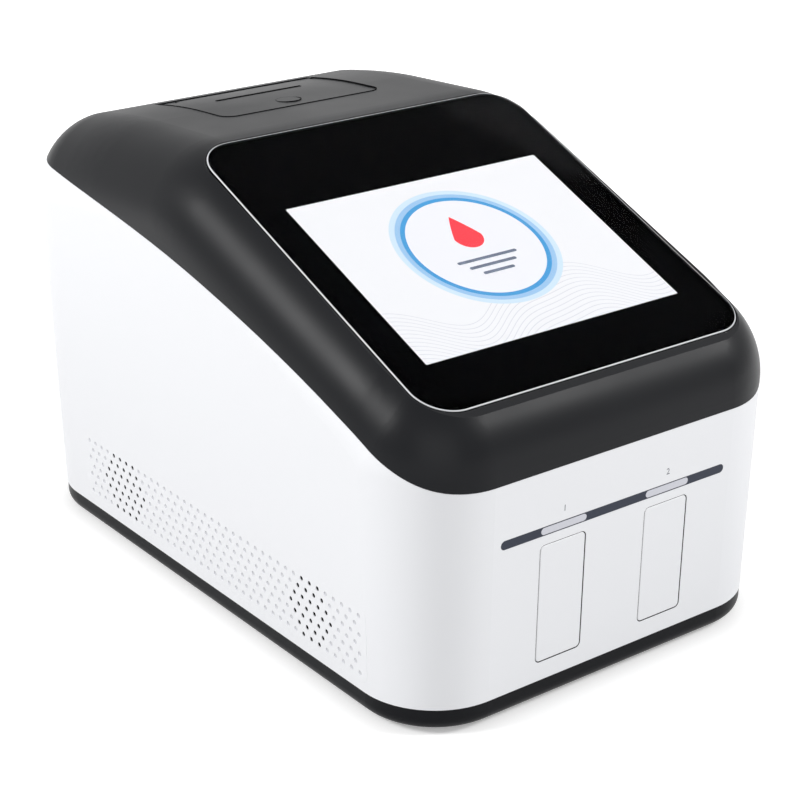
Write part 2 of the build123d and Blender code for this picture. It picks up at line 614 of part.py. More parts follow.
# One channel on each side: door, carrier, rack, slide, rods, pinion, motor and read head
for name, s in sides:
    middle = s * channel_x
    with BuildPart() as door:
        with BuildSketch(Plane.XZ.offset(-front_y - 10)):
            with Locations((middle, door_sill + door_height / 2)):
                RectangleRounded(door_width, door_height, door_corner)
        extrude(amount=20)
        add(outer_form, mode=Mode.INTERSECT)
        add(inner_form, mode=Mode.SUBTRACT)
        front_edges = door.faces().sort_by(Axis.Y)[0].edges()
        chamfer(front_edges, length=0.3)
    save(f"{name}_door", door)

    with BuildPart() as carrier:
        with BuildSketch(Plane.XY.offset(carrier_bottom)):
            with Locations((middle, (front_y + carrier_end) / 2 - 2)):
                Rectangle(carrier_width, carrier_end - front_y + 4)
        extrude(amount=carrier_top - carrier_bottom)
        fillet(carrier.edges().filter_by(Axis.Z).group_by(Axis.Y)[-1], radius=3)
        # plate behind the door
        with BuildSketch(Plane.XZ.offset(-front_y - 7)):
            with Locations((middle, door_sill + door_height / 2)):
                RectangleRounded(face_plate_width, face_plate_height, 2)
        extrude(amount=10)
        add(inner_form, mode=Mode.INTERSECT)
        # bearing for the rods
        with BuildSketch(Plane.XZ.offset(-carrier_end)):
            with Locations((middle, (carrier_bottom + rod_z - 3.7) / 2 + 1)):
                Rectangle(carrier_width, carrier_bottom - rod_z + 5.7)
            with Locations((middle, rod_z)):
                with GridLocations(rod_spacing, 1, 2, 1):
                    Circle(rod_radius + rod_fit, mode=Mode.SUBTRACT)
        extrude(amount=bearing_length)
        # seat for the rack
        with BuildSketch(Plane.XY.offset(rack_bottom)):
            with Locations((s * (channel_x - carrier_width / 2), (rack_front + rack_rear) / 2)):
                Rectangle(2 * rack_inset, rack_rear - rack_front)
        extrude(amount=rack_height, mode=Mode.SUBTRACT)
        # pocket for the cartridge with a finger notch
        with BuildSketch(Plane.XY.offset(carrier_top - pocket_depth)):
            with Locations((middle, pocket_front + pocket_length / 2)):
                RectangleRounded(pocket_width, pocket_length, 2)
        extrude(amount=pocket_depth, mode=Mode.SUBTRACT)
        with BuildSketch(Plane.YZ.offset(middle - carrier_width)):
            with Locations((pocket_front + 22, carrier_top)):
                SlotOverall(30, 18)
        extrude(amount=2 * carrier_width, mode=Mode.SUBTRACT)
        with BuildSketch(Plane.YZ.offset(middle)):
            with Locations((window_y, window_z)):
                RectangleRounded(window_width, window_height, 1)
        extrude(amount=s * carrier_width, mode=Mode.SUBTRACT)
    save(f"{name}_carrier", carrier)

    with BuildPart() as rack:
        with BuildSketch(Plane.XY.offset(rack_bottom)):
            with BuildLine():
                Polyline(*rack_outline(s), close=True)
            make_face()
        extrude(amount=rack_height)
    save(f"{name}_rack", rack)

    with BuildPart() as slide:
        with BuildSketch(Plane.XY.offset(chassis_top)):
            with Locations((middle, (slide_front + slide_back) / 2)):
                RectangleRounded(slide_width, slide_back - slide_front, 2)
                SlotOverall(90, 8, rotation=90, mode=Mode.SUBTRACT)
        extrude(amount=slide_plate)
        with BuildSketch(Plane.XY.offset(chassis_top)):
            with Locations((middle, slide_front + slide_end / 2), (middle, slide_back - slide_end / 2)):
                Rectangle(slide_width - 4, slide_end)
        extrude(amount=slide_block)
        with BuildSketch(Plane.XZ.offset(-slide_back)):
            with Locations((middle, rod_z)):
                with GridLocations(rod_spacing, 1, 2, 1):
                    Circle(rod_radius + screw_fit)
        extrude(amount=slide_back - slide_front, mode=Mode.SUBTRACT)
    save(f"{name}_slide", slide)

    with BuildPart() as rods:
        with BuildSketch(Plane.XZ.offset(-slide_back)):
            with Locations((middle, rod_z)):
                with GridLocations(rod_spacing, 1, 2, 1):
                    Circle(rod_radius)
        extrude(amount=slide_back - slide_front)
        chamfer(rods.edges().filter_by(GeomType.CIRCLE), length=0.4)
    save(f"{name}_rods", rods)

    with BuildPart() as pinion:
        with BuildSketch(Plane.XY.offset(rack_bottom - pinion_rim)):
            with BuildLine():
                Polyline(*[(s * pinion_x + x, pinion_y + y) for x, y in pinion_outline()], close=True)
            make_face()
        extrude(amount=rack_height + 2 * pinion_rim)
        with BuildSketch(Plane.XY.offset(rack_bottom - pinion_rim - 2)):
            with Locations((s * pinion_x, pinion_y)):
                Circle(3.5)
        extrude(amount=2)
        with BuildSketch(Plane.XY.offset(rack_bottom + rack_height)):
            with Locations((s * pinion_x, pinion_y)):
                Circle(shaft_radius)
        extrude(amount=deck_bottom + deck_thickness + shaft_depth - 1 - rack_bottom - rack_height)
    save(f"{name}_pinion", pinion)

    deck_top = deck_bottom + deck_thickness
    with BuildPart() as motor:
        with BuildSketch(Plane.XY.offset(deck_top)):
            with Locations((s * pinion_x, pinion_y)):
                Rectangle(motor_size, motor_size)
        extrude(amount=motor_length)
        chamfer(motor.edges().filter_by(Axis.Z), length=2)
        with BuildSketch(Plane.XZ.offset(-pinion_y - motor_size / 2)):
            with Locations((s * pinion_x, deck_top + 5)):
                Rectangle(9, 6)
        extrude(amount=-3)
        with BuildSketch(Plane.XY.offset(deck_bottom + 0.5)):
            with Locations((s * pinion_x, pinion_y)):
                Circle(6)
        extrude(amount=deck_thickness)
        with BuildSketch(Plane.XY.offset(deck_bottom)):
            with Locations((s * pinion_x, pinion_y)):
                Circle(shaft_radius + shaft_fit)
        extrude(amount=deck_thickness + shaft_depth, mode=Mode.SUBTRACT)
    save(f"{name}_motor", motor)

    optics_x = middle + s * (carrier_width / 2 + optics_gap + optics_width / 2)
    with BuildPart() as optics:
        with BuildSketch(Plane.XY.offset(chassis_top)):
            with Locations((optics_x, window_y)):
                RectangleRounded(optics_width, optics_length + 2 * 6, 3)
        extrude(amount=optics_foot)
        with BuildSketch(Plane.XY.offset(chassis_top)):
            with Locations((optics_x, window_y)):
                Rectangle(optics_width, optics_length)
        extrude(amount=optics_height + 12)
        chamfer(optics.faces().sort_by(Axis.Z)[-1].edges(), length=1.5)
        with BuildSketch(Plane.YZ.offset(optics_x)):
            with Locations((window_y, window_z)):
                Circle(lens_radius)
        extrude(amount=-s * (optics_width / 2 + lens_length))
        with BuildSketch(Plane.YZ.offset(optics_x + s * optics_width / 2)):
            with Locations((window_y, window_z - 4)):
                with GridLocations(7, 0, 7, 1):
                    Rectangle(2, 40)
        extrude(amount=s * 6)
    save(f"{name}_optics", optics)

    with BuildPart() as light:
        with BuildSketch(front_plane.offset(-light_length_in)):
            with Locations((middle, strip_v)):
                SlotOverall(light_length, light_height)
        extrude(amount=light_length_in)
        with BuildSketch(front_plane.offset(-inner_face - light_flange)):
            with Locations((middle, strip_v)):
                SlotOverall(light_length + 3, light_height + 3)
        extrude(amount=light_flange)
    save(f"{name}_light", light)

with BuildPart() as motor_bracket:
    with BuildSketch(Plane.XY.offset(deck_bottom)):
        with Locations((0, pinion_y)):
            Rectangle(deck_width, deck_length)
        with Locations((-pinion_x, pinion_y), (pinion_x, pinion_y)):
            Circle(6.1, mode=Mode.SUBTRACT)
    extrude(amount=deck_thickness)
    with BuildSketch(Plane.XY.offset(chassis_top)):
        with Locations((0, pinion_y)):
            with GridLocations(1, deck_length - leg_thickness, 1, 2):
                Rectangle(leg_width, leg_thickness)
    extrude(amount=deck_bottom - chassis_top)
    with BuildSketch(Plane.XY.offset(chassis_top)):
        with Locations((0, pinion_y)):
            with GridLocations(1, deck_length + leg_foot, 1, 2):
                Rectangle(leg_width, leg_foot + 2 * leg_thickness)
    extrude(amount=leg_thickness)
save("motor_bracket", motor_bracket)

with BuildPart() as bracket_bolts:
    with BuildSketch(Plane.XY.offset(chassis_top + leg_thickness)):
        with Locations((0, pinion_y)):
            with GridLocations(18, deck_length + leg_foot + 2, 2, 2):
                Circle(2.75)
                RegularPolygon(1.4, 6, mode=Mode.SUBTRACT)
    extrude(amount=1.8)
save("bracket_bolts", bracket_bolts)

# Front strip and the board that lights it
with BuildPart() as front_strip:
    with BuildSketch(front_plane.offset(-strip_depth)):
        with Locations((0, strip_v)):
            SlotOverall(strip_length, strip_height)
        with Locations((-channel_x, strip_v), (channel_x, strip_v)):
            SlotOverall(light_length + 2 * strip_fit, light_height + 2 * strip_fit, mode=Mode.SUBTRACT)
    extrude(amount=strip_depth)
save("front_strip", front_strip)

with BuildPart() as led_strip:
    with BuildSketch(front_plane.offset(-led_board_depth - led_board)):
        with Locations((0, strip_v)):
            Rectangle(led_width, led_height)
    extrude(amount=led_board)
    with BuildSketch(front_plane.offset(-led_board_depth)):
        for name, s in sides:
            with Locations((s * channel_x, strip_v)):
                with GridLocations(8, 0, 3, 1):
                    Rectangle(3, 2.5)
    extrude(amount=1.2)
save("led_strip", led_strip)

# Printer well under the lid
cradle_x = roll_width / 2 + cradle_gap
with BuildPart() as printer_well:
    with BuildSketch(lid_plane.offset(-well_depth)):
        with Locations((0, (well_front + well_rear) / 2)):
            Rectangle(well_width + 2 * well_wall, well_rear - well_front + 2 * well_wall)
    extrude(amount=well_depth)
    with BuildSketch(lid_plane.offset(-wall - rim_sheet)):
        with Locations((0, (rim_front + rim_back) / 2)):
            RectangleRounded(rim_width, rim_back - rim_front, rim_corner)
    extrude(amount=wall + rim_sheet)
    add(inner_form, mode=Mode.INTERSECT)
    with BuildSketch(lid_plane.offset(well_wall - well_depth)):
        with Locations((0, (well_front + well_rear) / 2)):
            Rectangle(well_width, well_rear - well_front)
    extrude(amount=well_depth, mode=Mode.SUBTRACT)
    # room for the hinge barrel and for the cup under the button
    with BuildSketch(lid_plane.offset(-barrel_depth - barrel_radius - barrel_gap)):
        Rectangle(barrel_length + 1, 2 * (barrel_radius + barrel_gap))
        with Locations((0, -button_reach)):
            Circle(button_radius + button_rim + cup_gap + cup_wall + cup_room)
    extrude(amount=well_depth, mode=Mode.SUBTRACT)
    # hinge knuckles
    for s in (-1, 1):
        with BuildSketch(lid_section.offset(s * (barrel_length / 2 + 0.5))):
            with Locations((0, -barrel_depth)):
                Circle(barrel_radius)
        extrude(amount=s * knuckle_length)
    with BuildSketch(lid_section.offset(-barrel_length)):
        with Locations((0, -barrel_depth)):
            Circle(pin_radius + screw_fit)
    extrude(amount=2 * barrel_length, mode=Mode.SUBTRACT)
    # cradle plates for the roll spindle
    for s in (-1, 1):
        with BuildSketch(lid_section.offset(s * cradle_x)):
            with Locations((roll_y, (cradle_rise - roll_depth - well_depth + well_wall) / 2)):
                Rectangle(cradle_width, well_depth - well_wall - roll_depth + cradle_rise)
            with Locations((roll_y, -roll_depth)):
                Circle(journal_radius + journal_fit, mode=Mode.SUBTRACT)
            with Locations((roll_y, cradle_rise - roll_depth)):
                Rectangle(2 * (journal_radius + journal_fit), 2 * cradle_rise, mode=Mode.SUBTRACT)
        extrude(amount=s * cradle_wall)
save("printer_well", printer_well)

# Printer lid with the paper slot, its button and the platen
with BuildPart() as printer_lid:
    with BuildSketch(lid_plane.offset(-3 * wall)):
        add(lid_shape(lid_width / 2, -lid_length, 0, lid_corner))
        for s in (-1, 1):
            with Locations((s * (barrel_length / 2 + lid_width / 2), 0)):
                Rectangle(lid_width, 2 * (barrel_radius + barrel_gap), mode=Mode.SUBTRACT)
        with Locations((0, -slot_reach)):
            Rectangle(slot_length, slot_width, mode=Mode.SUBTRACT)
        with Locations((0, -button_reach)):
            Circle(button_radius + button_gap, mode=Mode.SUBTRACT)
    extrude(amount=overhang)
    add(casing_form(lid_seat), mode=Mode.INTERSECT)
    add(casing_form(lid_seat + lid_thickness), mode=Mode.SUBTRACT)
    with BuildSketch(lid_section.offset(-barrel_length / 2)):
        with Locations((0, -barrel_depth)):
            Circle(barrel_radius)
    extrude(amount=barrel_length)
    for s in (-1, 1):
        with BuildSketch(lid_section.offset(s * (roll_width / 2 + ear_gap))):
            with Locations((-platen_reach, -platen_depth)):
                Circle(platen_radius - 0.1)
            with Locations((-platen_reach, -platen_depth / 2 - lid_seat)):
                Rectangle(2 * platen_radius - 0.2, platen_depth)
            with Locations((-platen_reach, -platen_depth)):
                Circle(axle_radius + axle_fit, mode=Mode.SUBTRACT)
        extrude(amount=s * ear_thickness)
    with BuildSketch(lid_section.offset(-barrel_length)):
        with Locations((0, -barrel_depth)):
            Circle(pin_radius + pin_fit)
    extrude(amount=2 * barrel_length, mode=Mode.SUBTRACT)
save("printer_lid", printer_lid)

with BuildPart() as hinge_pin:
    with BuildSketch(lid_section.offset(-barrel_length / 2 - knuckle_length)):
        with Locations((0, -barrel_depth)):
            Circle(pin_radius)
    extrude(amount=barrel_length + 2 * knuckle_length)
save("hinge_pin", hinge_pin)

button_under = button_lift - lid_seat - lid_thickness
with BuildPart() as lid_button:
    with BuildSketch(lid_plane.offset(button_under - button_flange)):
        with Locations((0, -button_reach)):
            Circle(button_radius)
    extrude(amount=3 * wall)
    add(casing_form(lid_seat), mode=Mode.INTERSECT)
    with BuildSketch(lid_plane.offset(button_under - button_flange)):
        with Locations((0, -button_reach)):
            Circle(button_radius + button_rim)
    extrude(amount=button_flange)
save("lid_button", lid_button)

cup_floor = button_under - button_flange - button_travel - 0.1
cup_radius = button_radius + button_rim + cup_gap
with BuildPart() as button_cup:
    with BuildSketch(lid_plane.offset(cup_floor - cup_wall)):
        with Locations((0, -button_reach)):
            Circle(cup_radius + cup_wall)
    extrude(amount=-cup_floor + cup_wall)
    add(casing_form(lid_seat + lid_thickness), mode=Mode.INTERSECT)
    with BuildSketch(lid_plane.offset(cup_floor)):
        with Locations((0, -button_reach)):
            Circle(cup_radius)
    extrude(amount=-cup_floor, mode=Mode.SUBTRACT)
    with BuildSketch(lid_plane.offset(cup_floor - cup_wall)):
        with Locations((0, -button_reach)):
            Circle(button_radius - 3)
    extrude(amount=cup_wall, mode=Mode.SUBTRACT)
save("button_cup", button_cup)

with BuildPart() as platen_rubber:
    with BuildSketch(lid_section.offset(-roll_width / 2)):
        with Locations((-platen_reach, -platen_depth)):
            Circle(platen_radius)
            Circle(axle_radius, mode=Mode.SUBTRACT)
    extrude(amount=roll_width)
save("platen_rubber", platen_rubber)

axle_half = roll_width / 2 + ear_gap + ear_thickness + 0.8
with BuildPart() as platen_axle:
    with BuildSketch(lid_section.offset(-axle_half)):
        with Locations((-platen_reach, -platen_depth)):
            Circle(axle_radius)
    extrude(amount=2 * axle_half)
save("platen_axle", platen_axle)

# Thermal head and its mount on the rear wall of the well
head_y = -platen_reach + platen_radius + head_gap
with BuildPart() as print_head:
    with BuildSketch(lid_section.offset(-head_width / 2)):
        with Locations((head_y + head_thickness / 2, -head_top - head_height / 2)):
            Rectangle(head_thickness, head_height)
    extrude(amount=head_width)
save("print_head", print_head)

mount_depth = well_rear - head_y - head_thickness
with BuildPart() as head_mount:
    with BuildSketch(lid_section.offset(-mount_width / 2)):
        with Locations((well_rear - mount_depth / 2, -head_top - mount_height / 2)):
            Rectangle(mount_depth, mount_height)
    extrude(amount=mount_width)
    with BuildSketch(lid_plane.offset(-head_top - mount_height)):
        with Locations((0, well_rear - mount_depth / 2)):
            with GridLocations(9, 1, 7, 1):
                Rectangle(3, mount_depth - 2)
    extrude(amount=mount_height - 2, mode=Mode.SUBTRACT)
save("head_mount", head_mount)

# Paper roll on its spindle
with BuildPart() as paper_roll:
    with BuildSketch(lid_section.offset(-roll_width / 2)):
        with Locations((roll_y, -roll_depth)):
            Circle(roll_radius)
            Circle(core_radius, mode=Mode.SUBTRACT)
    extrude(amount=roll_width)
save("paper_roll", paper_roll)

with BuildPart() as roll_core:
    with BuildSketch(lid_section.offset(-roll_width / 2)):
        with Locations((roll_y, -roll_depth)):
            Circle(core_radius)
            Circle(core_radius - core_wall, mode=Mode.SUBTRACT)
    extrude(amount=roll_width)
save("roll_core", roll_core)

with BuildPart() as roll_spindle:
    with BuildSketch(lid_section.offset(-roll_width / 2)):
        with Locations((roll_y, -roll_depth)):
            Circle(core_radius - core_wall)
    extrude(amount=roll_width)
    with BuildSketch(lid_section.offset(-roll_width / 2 - journal_length)):
        with Locations((roll_y, -roll_depth)):
            Circle(journal_radius)
    extrude(amount=roll_width + 2 * journal_length)
save("roll_spindle", roll_spindle)

# Mainboard on posts with its sockets
with BuildPart() as board_standoffs:
    with BuildSketch(Plane.XY.offset(chassis_top)):
        with Locations(*board_posts):
            RegularPolygon(post_radius, 6)
    extrude(amount=board_lift)
save("board_standoffs", board_standoffs)

with BuildPart() as mainboard:
    with BuildSketch(Plane.XY.offset(board_top - board_thickness)):
        with Locations((board_x, board_y)):
            Rectangle(board_width, board_depth)
    extrude(amount=board_thickness)
    with BuildSketch(Plane.XY.offset(board_top)):
        with Locations((board_x - 8, board_y - 5)):
            Rectangle(24, 24)
        with Locations((board_x + 28, board_y + 10)):
            Rectangle(14, 20)
        with Locations((board_x - 35, board_y + 15)):
            Rectangle(12, 12)
    extrude(amount=2)
    with BuildSketch(Plane.XY.offset(board_top)):
        with Locations((board_x - 40, board_y - 60), (board_x, board_y - 60), (board_x + 36, board_y - 60)):
            Rectangle(26, 7)
        with Locations((board_x + 58, board_y)):
            Rectangle(7, 60)
    extrude(amount=8)
save("mainboard", mainboard)

with BuildPart() as heat_sink:
    with BuildSketch(Plane.XY.offset(board_top + 2)):
        with Locations((board_x - 8, board_y - 5)):
            Rectangle(30, 30)
    extrude(amount=2)
    with BuildSketch(Plane.XY.offset(board_top + 4)):
        with Locations((board_x - 8, board_y - 5)):
            with GridLocations(4.6, 0, 7, 1):
                Rectangle(1.4, 30)
    extrude(amount=8)
save("heat_sink", heat_sink)

for name, x, width, height, mouth in (
    ("lan_socket", lan_x, lan_width, lan_height, (12.0, 8.0)),
    ("usb_socket", usb_x, usb_width, usb_height, (11.0, 4.6)),
):
    with BuildPart() as socket:
        with BuildSketch(Plane.XZ.offset(-socket_face)):
            with Locations((x, board_top + height / 2)):
                Rectangle(width, height)
        extrude(amount=socket_depth)
        with BuildSketch(Plane.XZ.offset(-socket_face)):
            with Locations((x, board_top + height / 2)):
                Rectangle(*mouth)
        extrude(amount=socket_depth * 0.6, mode=Mode.SUBTRACT)
    save(name, socket)

# Power supply, inlet and switch
with BuildPart() as power_supply:
    with BuildSketch(Plane.XY.offset(chassis_top)):
        with Locations((supply_x, supply_y)):
            Rectangle(supply_width, supply_depth)
    extrude(amount=supply_height)
    fillet(power_supply.edges().filter_by(Axis.Y).group_by(Axis.Z)[-1], radius=1.5)
    with BuildSketch(Plane.XY.offset(chassis_top + supply_height - 1)):
        with Locations((supply_x, supply_y + 10)):
            with GridLocations(1, 7, 1, 9):
                SlotOverall(36, 3)
    extrude(amount=2, mode=Mode.SUBTRACT)
save("power_supply", power_supply)

with BuildPart() as power_inlet:
    with BuildSketch(rear_plane):
        with Locations((-inlet_x, inlet_v)):
            RectangleRounded(inlet_width + 2 * flange_margin, inlet_height + 2 * flange_margin, 2)
    extrude(amount=flange_sheet)
    with BuildSketch(rear_plane):
        with Locations((-inlet_x, inlet_v)):
            Rectangle(inlet_width, inlet_height)
    extrude(amount=-inlet_body)
    with BuildSketch(rear_plane.offset(flange_sheet)):
        with Locations((-inlet_x, inlet_v)):
            RectangleRounded(inlet_width - 2 * inlet_wall, inlet_height - 2 * inlet_wall, 2.5)
    extrude(amount=-inlet_cavity, mode=Mode.SUBTRACT)
    with BuildSketch(rear_plane.offset(flange_sheet - inlet_cavity)):
        with Locations((-inlet_x, inlet_v + 3), (-inlet_x - 7, inlet_v - 2), (-inlet_x + 7, inlet_v - 2)):
            Rectangle(2, 4.6)
    extrude(amount=11)
save("power_inlet", power_inlet)

rocker_plane = Plane(
    origin=rear_plane.from_local_coords((-inlet_x, switch_v, -rocker_depth)),
    x_dir=rear_plane.y_dir,
    z_dir=rear_plane.x_dir,
)
with BuildPart() as switch_frame:
    with BuildSketch(rear_plane):
        with Locations((-inlet_x, switch_v)):
            RectangleRounded(switch_width + 2 * flange_margin, switch_height + 2 * flange_margin, 2)
    extrude(amount=flange_sheet)
    with BuildSketch(rear_plane):
        with Locations((-inlet_x, switch_v)):
            Rectangle(switch_width, switch_height)
    extrude(amount=-switch_body)
    with BuildSketch(rear_plane.offset(flange_sheet)):
        with Locations((-inlet_x, switch_v)):
            Rectangle(rocker_width + 2 * rocker_play, 2 * (rocker_radius + rocker_play))
    extrude(amount=-flange_sheet - switch_body + 2, mode=Mode.SUBTRACT)
    with BuildSketch(rocker_plane):
        Circle(stub_radius + 0.05)
    extrude(amount=rocker_width / 2 + rocker_play + stub_length, both=True, mode=Mode.SUBTRACT)
save("switch_frame", switch_frame)

rocker_rise = math.tan(math.radians(rocker_tilt)) * 12
rocker_points = [
    (-12, -rocker_foot), (12, -rocker_foot), (12, rocker_face + rocker_rise), (0, rocker_face),
    (-12, rocker_face + rocker_rise),
]
with BuildPart() as switch_rocker:
    with BuildSketch(rocker_plane):
        Circle(rocker_radius)
        with BuildLine():
            Polyline(*[Vector(x, y).rotate(Axis.Z, rocker_tilt) for x, y in rocker_points], close=True)
        make_face(mode=Mode.INTERSECT)
    extrude(amount=rocker_width / 2, both=True)
    with BuildSketch(rocker_plane):
        Circle(stub_radius)
    extrude(amount=rocker_width / 2 + rocker_play + stub_length - 0.2, both=True)
save("switch_rocker", switch_rocker)

# Cooling fan behind the grille
with BuildPart() as fan_frame:
    with BuildSketch(rear_plane.offset(-inner_face - fan_depth)):
        with Locations((-fan_x, fan_v)):
            RectangleRounded(fan_size, fan_size, 4)
            Circle(fan_bore, mode=Mode.SUBTRACT)
            with GridLocations(fan_size - 10, fan_size - 10, 2, 2):
                Circle(2.2, mode=Mode.SUBTRACT)
    extrude(amount=fan_depth)
    with BuildSketch(rear_plane.offset(-inner_face - fan_depth)):
        with Locations((-fan_x, fan_v)):
            Circle(fan_hub)
            Rectangle(2 * fan_bore + 1, 3, rotation=45)
            Rectangle(2 * fan_bore + 1, 3, rotation=-45)
    extrude(amount=fan_plate)
    with BuildSketch(rear_plane.offset(-inner_face - fan_depth)):
        with Locations((-fan_x, fan_v)):
            Circle(shaft_radius)
    extrude(amount=fan_pin)
save("fan_frame", fan_frame)

fan_axis = Plane(
    origin=rear_plane.from_local_coords((-fan_x, fan_v, -inner_face - fan_depth / 2)),
    x_dir=rear_plane.x_dir,
    z_dir=rear_plane.z_dir,
)
with BuildPart() as blade:
    with BuildSketch(Plane(origin=(fan_hub - 1, 0, 0), x_dir=(0, 1, 0), z_dir=(1, 0, 0))):
        Rectangle(11, 1.4, rotation=45)
    with BuildSketch(Plane(origin=(fan_tip, 0, 0), x_dir=(0, 1, 0), z_dir=(1, 0, 0))):
        Rectangle(14, 1.0, rotation=30)
    loft()
with BuildPart() as fan_rotor:
    with BuildSketch(fan_axis.offset(fan_plate + 0.4 - fan_depth / 2)):
        Circle(fan_hub)
    extrude(amount=fan_depth - fan_plate - 1.5)
    with Locations(fan_axis):
        with PolarLocations(0, blade_count):
            add(blade.part)
    with BuildSketch(fan_axis.offset(-fan_depth / 2)):
        Circle(shaft_radius + shaft_fit)
    extrude(amount=fan_pin + 0.3, mode=Mode.SUBTRACT)
save("fan_rotor", fan_rotor)
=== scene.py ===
"""Studio scene of a two-channel bench blood analyzer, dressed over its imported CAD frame.

Lengths are metres in the frame of the CAD model: +Z up, the doors face -Y, the origin is
the centre of the footprint on the table. Sizes of the added pieces are in millimetres.
"""
from __future__ import annotations

import json
import logging
import math
from dataclasses import dataclass
from enum import Enum

import bmesh
import bpy
from mathutils import Matrix, Quaternion, Vector
from mathutils.bvhtree import BVHTree

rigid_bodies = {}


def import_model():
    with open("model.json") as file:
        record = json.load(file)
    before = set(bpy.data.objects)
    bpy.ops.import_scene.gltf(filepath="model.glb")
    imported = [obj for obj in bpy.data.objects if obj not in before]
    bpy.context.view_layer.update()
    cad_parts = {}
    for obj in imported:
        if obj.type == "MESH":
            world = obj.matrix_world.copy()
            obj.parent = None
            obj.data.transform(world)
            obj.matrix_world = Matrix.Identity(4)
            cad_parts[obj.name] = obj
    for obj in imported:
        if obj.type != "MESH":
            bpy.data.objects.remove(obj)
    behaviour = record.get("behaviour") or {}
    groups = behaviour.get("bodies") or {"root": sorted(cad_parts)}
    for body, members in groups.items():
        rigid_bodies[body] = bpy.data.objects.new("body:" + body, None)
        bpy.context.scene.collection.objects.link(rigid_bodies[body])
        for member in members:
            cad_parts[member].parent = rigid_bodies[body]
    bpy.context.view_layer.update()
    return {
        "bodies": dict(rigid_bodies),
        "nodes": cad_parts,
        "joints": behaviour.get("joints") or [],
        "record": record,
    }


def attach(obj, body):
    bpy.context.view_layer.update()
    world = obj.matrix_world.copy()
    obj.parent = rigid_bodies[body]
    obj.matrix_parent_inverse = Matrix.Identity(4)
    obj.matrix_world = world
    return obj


log = logging.getLogger("blood_analyzer")

Pair = tuple[float, float]
Triple = tuple[float, float, float]
Face = bmesh.types.BMFace
Socket = bpy.types.NodeSocket
Sockets = dict[str | int, object]

MM = 0.001


def srgb(red: float, green: float, blue: float) -> Triple:
    """Turn a display colour of 0 to 255 into the linear values that shaders take.

    Args:
        red: Red of 0 to 255.
        green: Green of 0 to 255.
        blue: Blue of 0 to 255.

    Returns:
        The three linear values.
    """

    def linear(level: float) -> float:
        """Return one linear channel."""
        share = level / 255
        return share / 12.92 if share <= 0.04045 else ((share + 0.055) / 1.055) ** 2.4

    return linear(red), linear(green), linear(blue)


def grey(level: float) -> tuple[float, float, float, float]:
    """Return a neutral colour as a shader takes it.

    Args:
        level: Its linear level.

    Returns:
        Red, green, blue and alpha.
    """
    return level, level, level, 1.0


def slanted_frame(origin: Triple, normal: Triple) -> Matrix:
    """Make the frame of a slanted face of the casing, with its X axis to the right.

    Args:
        origin: A point of the face in millimetres.
        normal: The outward direction.

    Returns:
        The matrix that carries a point of the face into the frame of the CAD model.
    """
    out = Vector(normal).normalized()
    side = Vector((1, 0, 0))
    frame = Matrix((side, out.cross(side), out)).transposed().to_4x4()
    frame.translation = Vector(origin) * MM
    return frame


def stand(name: str, data: bpy.types.ID) -> bpy.types.Object:
    """Put a new object into the scene.

    Args:
        name: Its name.
        data: Its mesh, curve, lamp or camera.

    Returns:
        The object.
    """
    thing = bpy.data.objects.new(name, data)
    bpy.context.scene.collection.objects.link(thing)
    return thing


# The casing in millimetres and radians: its walls, its slanted faces, its dial and doors

HALF_WIDTH = 120.0
HALF_LENGTH = 185.0
WALL_FOOT = 14.5
GLASS_TILT = math.radians(22.3)
LID_TILT = math.radians(5.9)
WALL_LEAN = math.radians(1.26)
SCREEN_FRAME = slanted_frame((0, -83.5, 200.1), (0, -math.sin(GLASS_TILT), math.cos(GLASS_TILT)))
FRONT_FRAME = slanted_frame(
    (0, -HALF_LENGTH, WALL_FOOT), (0, -math.cos(WALL_LEAN), -math.sin(WALL_LEAN))
)
LID_FRAME = slanted_frame((0, 143, 235.86), (0, math.sin(LID_TILT), math.cos(LID_TILT)))
DIAL_CENTRE = (-0.7, 5.5)
DOOR_MIDDLE = 33.9
NUMBER_PLACE = 91.0


class Side(Enum):
    """The two channels, by the side of the machine they are on."""

    LEFT = -1
    RIGHT = 1

    @property
    def word(self) -> str:
        """Return the name of the side in node names."""
        return self.name.lower()


# Materials


class NodeSheet:
    """A node tree with short ways to add nodes."""

    def __init__(self, tree: bpy.types.NodeTree) -> None:
        """Keep the tree.

        Args:
            tree: The tree that nodes are added to.
        """
        self.tree = tree

    def wire(self, node: bpy.types.Node, sockets: Sockets) -> None:
        """Link or set inputs of a node.

        Args:
            node: The node.
            sockets: What goes into each input, an output of another node or a plain value.
        """
        for key, value in sockets.items():
            if isinstance(value, Socket):
                self.tree.links.new(value, node.inputs[key])
            else:
                node.inputs[key].default_value = value

    def add(
        self, kind: str, sockets: Sockets | None = None, **settings: object
    ) -> bpy.types.Node:
        """Add a node.

        Args:
            kind: Node type.
            sockets: What goes into its inputs.
            **settings: Properties of the node.

        Returns:
            The new node.
        """
        node = self.tree.nodes.new(kind)
        for name, value in settings.items():
            setattr(node, name, value)
        self.wire(node, sockets or {})
        return node

    def maths(self, operation: str, *values: object) -> Socket:
        """Add a Math node.

        Args:
            operation: Name of the operation.
            *values: Its inputs, sockets or numbers.

        Returns:
            The output socket.
        """
        return self.add("ShaderNodeMath", dict(enumerate(values)), operation=operation).outputs[0]

    def blend(self, share: Socket, low: object, high: object) -> Socket:
        """Mix two colours.

        Args:
            share: How much of the second colour is taken.
            low: The first colour.
            high: The second colour.

        Returns:
            The output socket.
        """
        sockets = {"Factor": share, "A": low, "B": high}
        return self.add("ShaderNodeMix", sockets, data_type="RGBA").outputs["Result"]


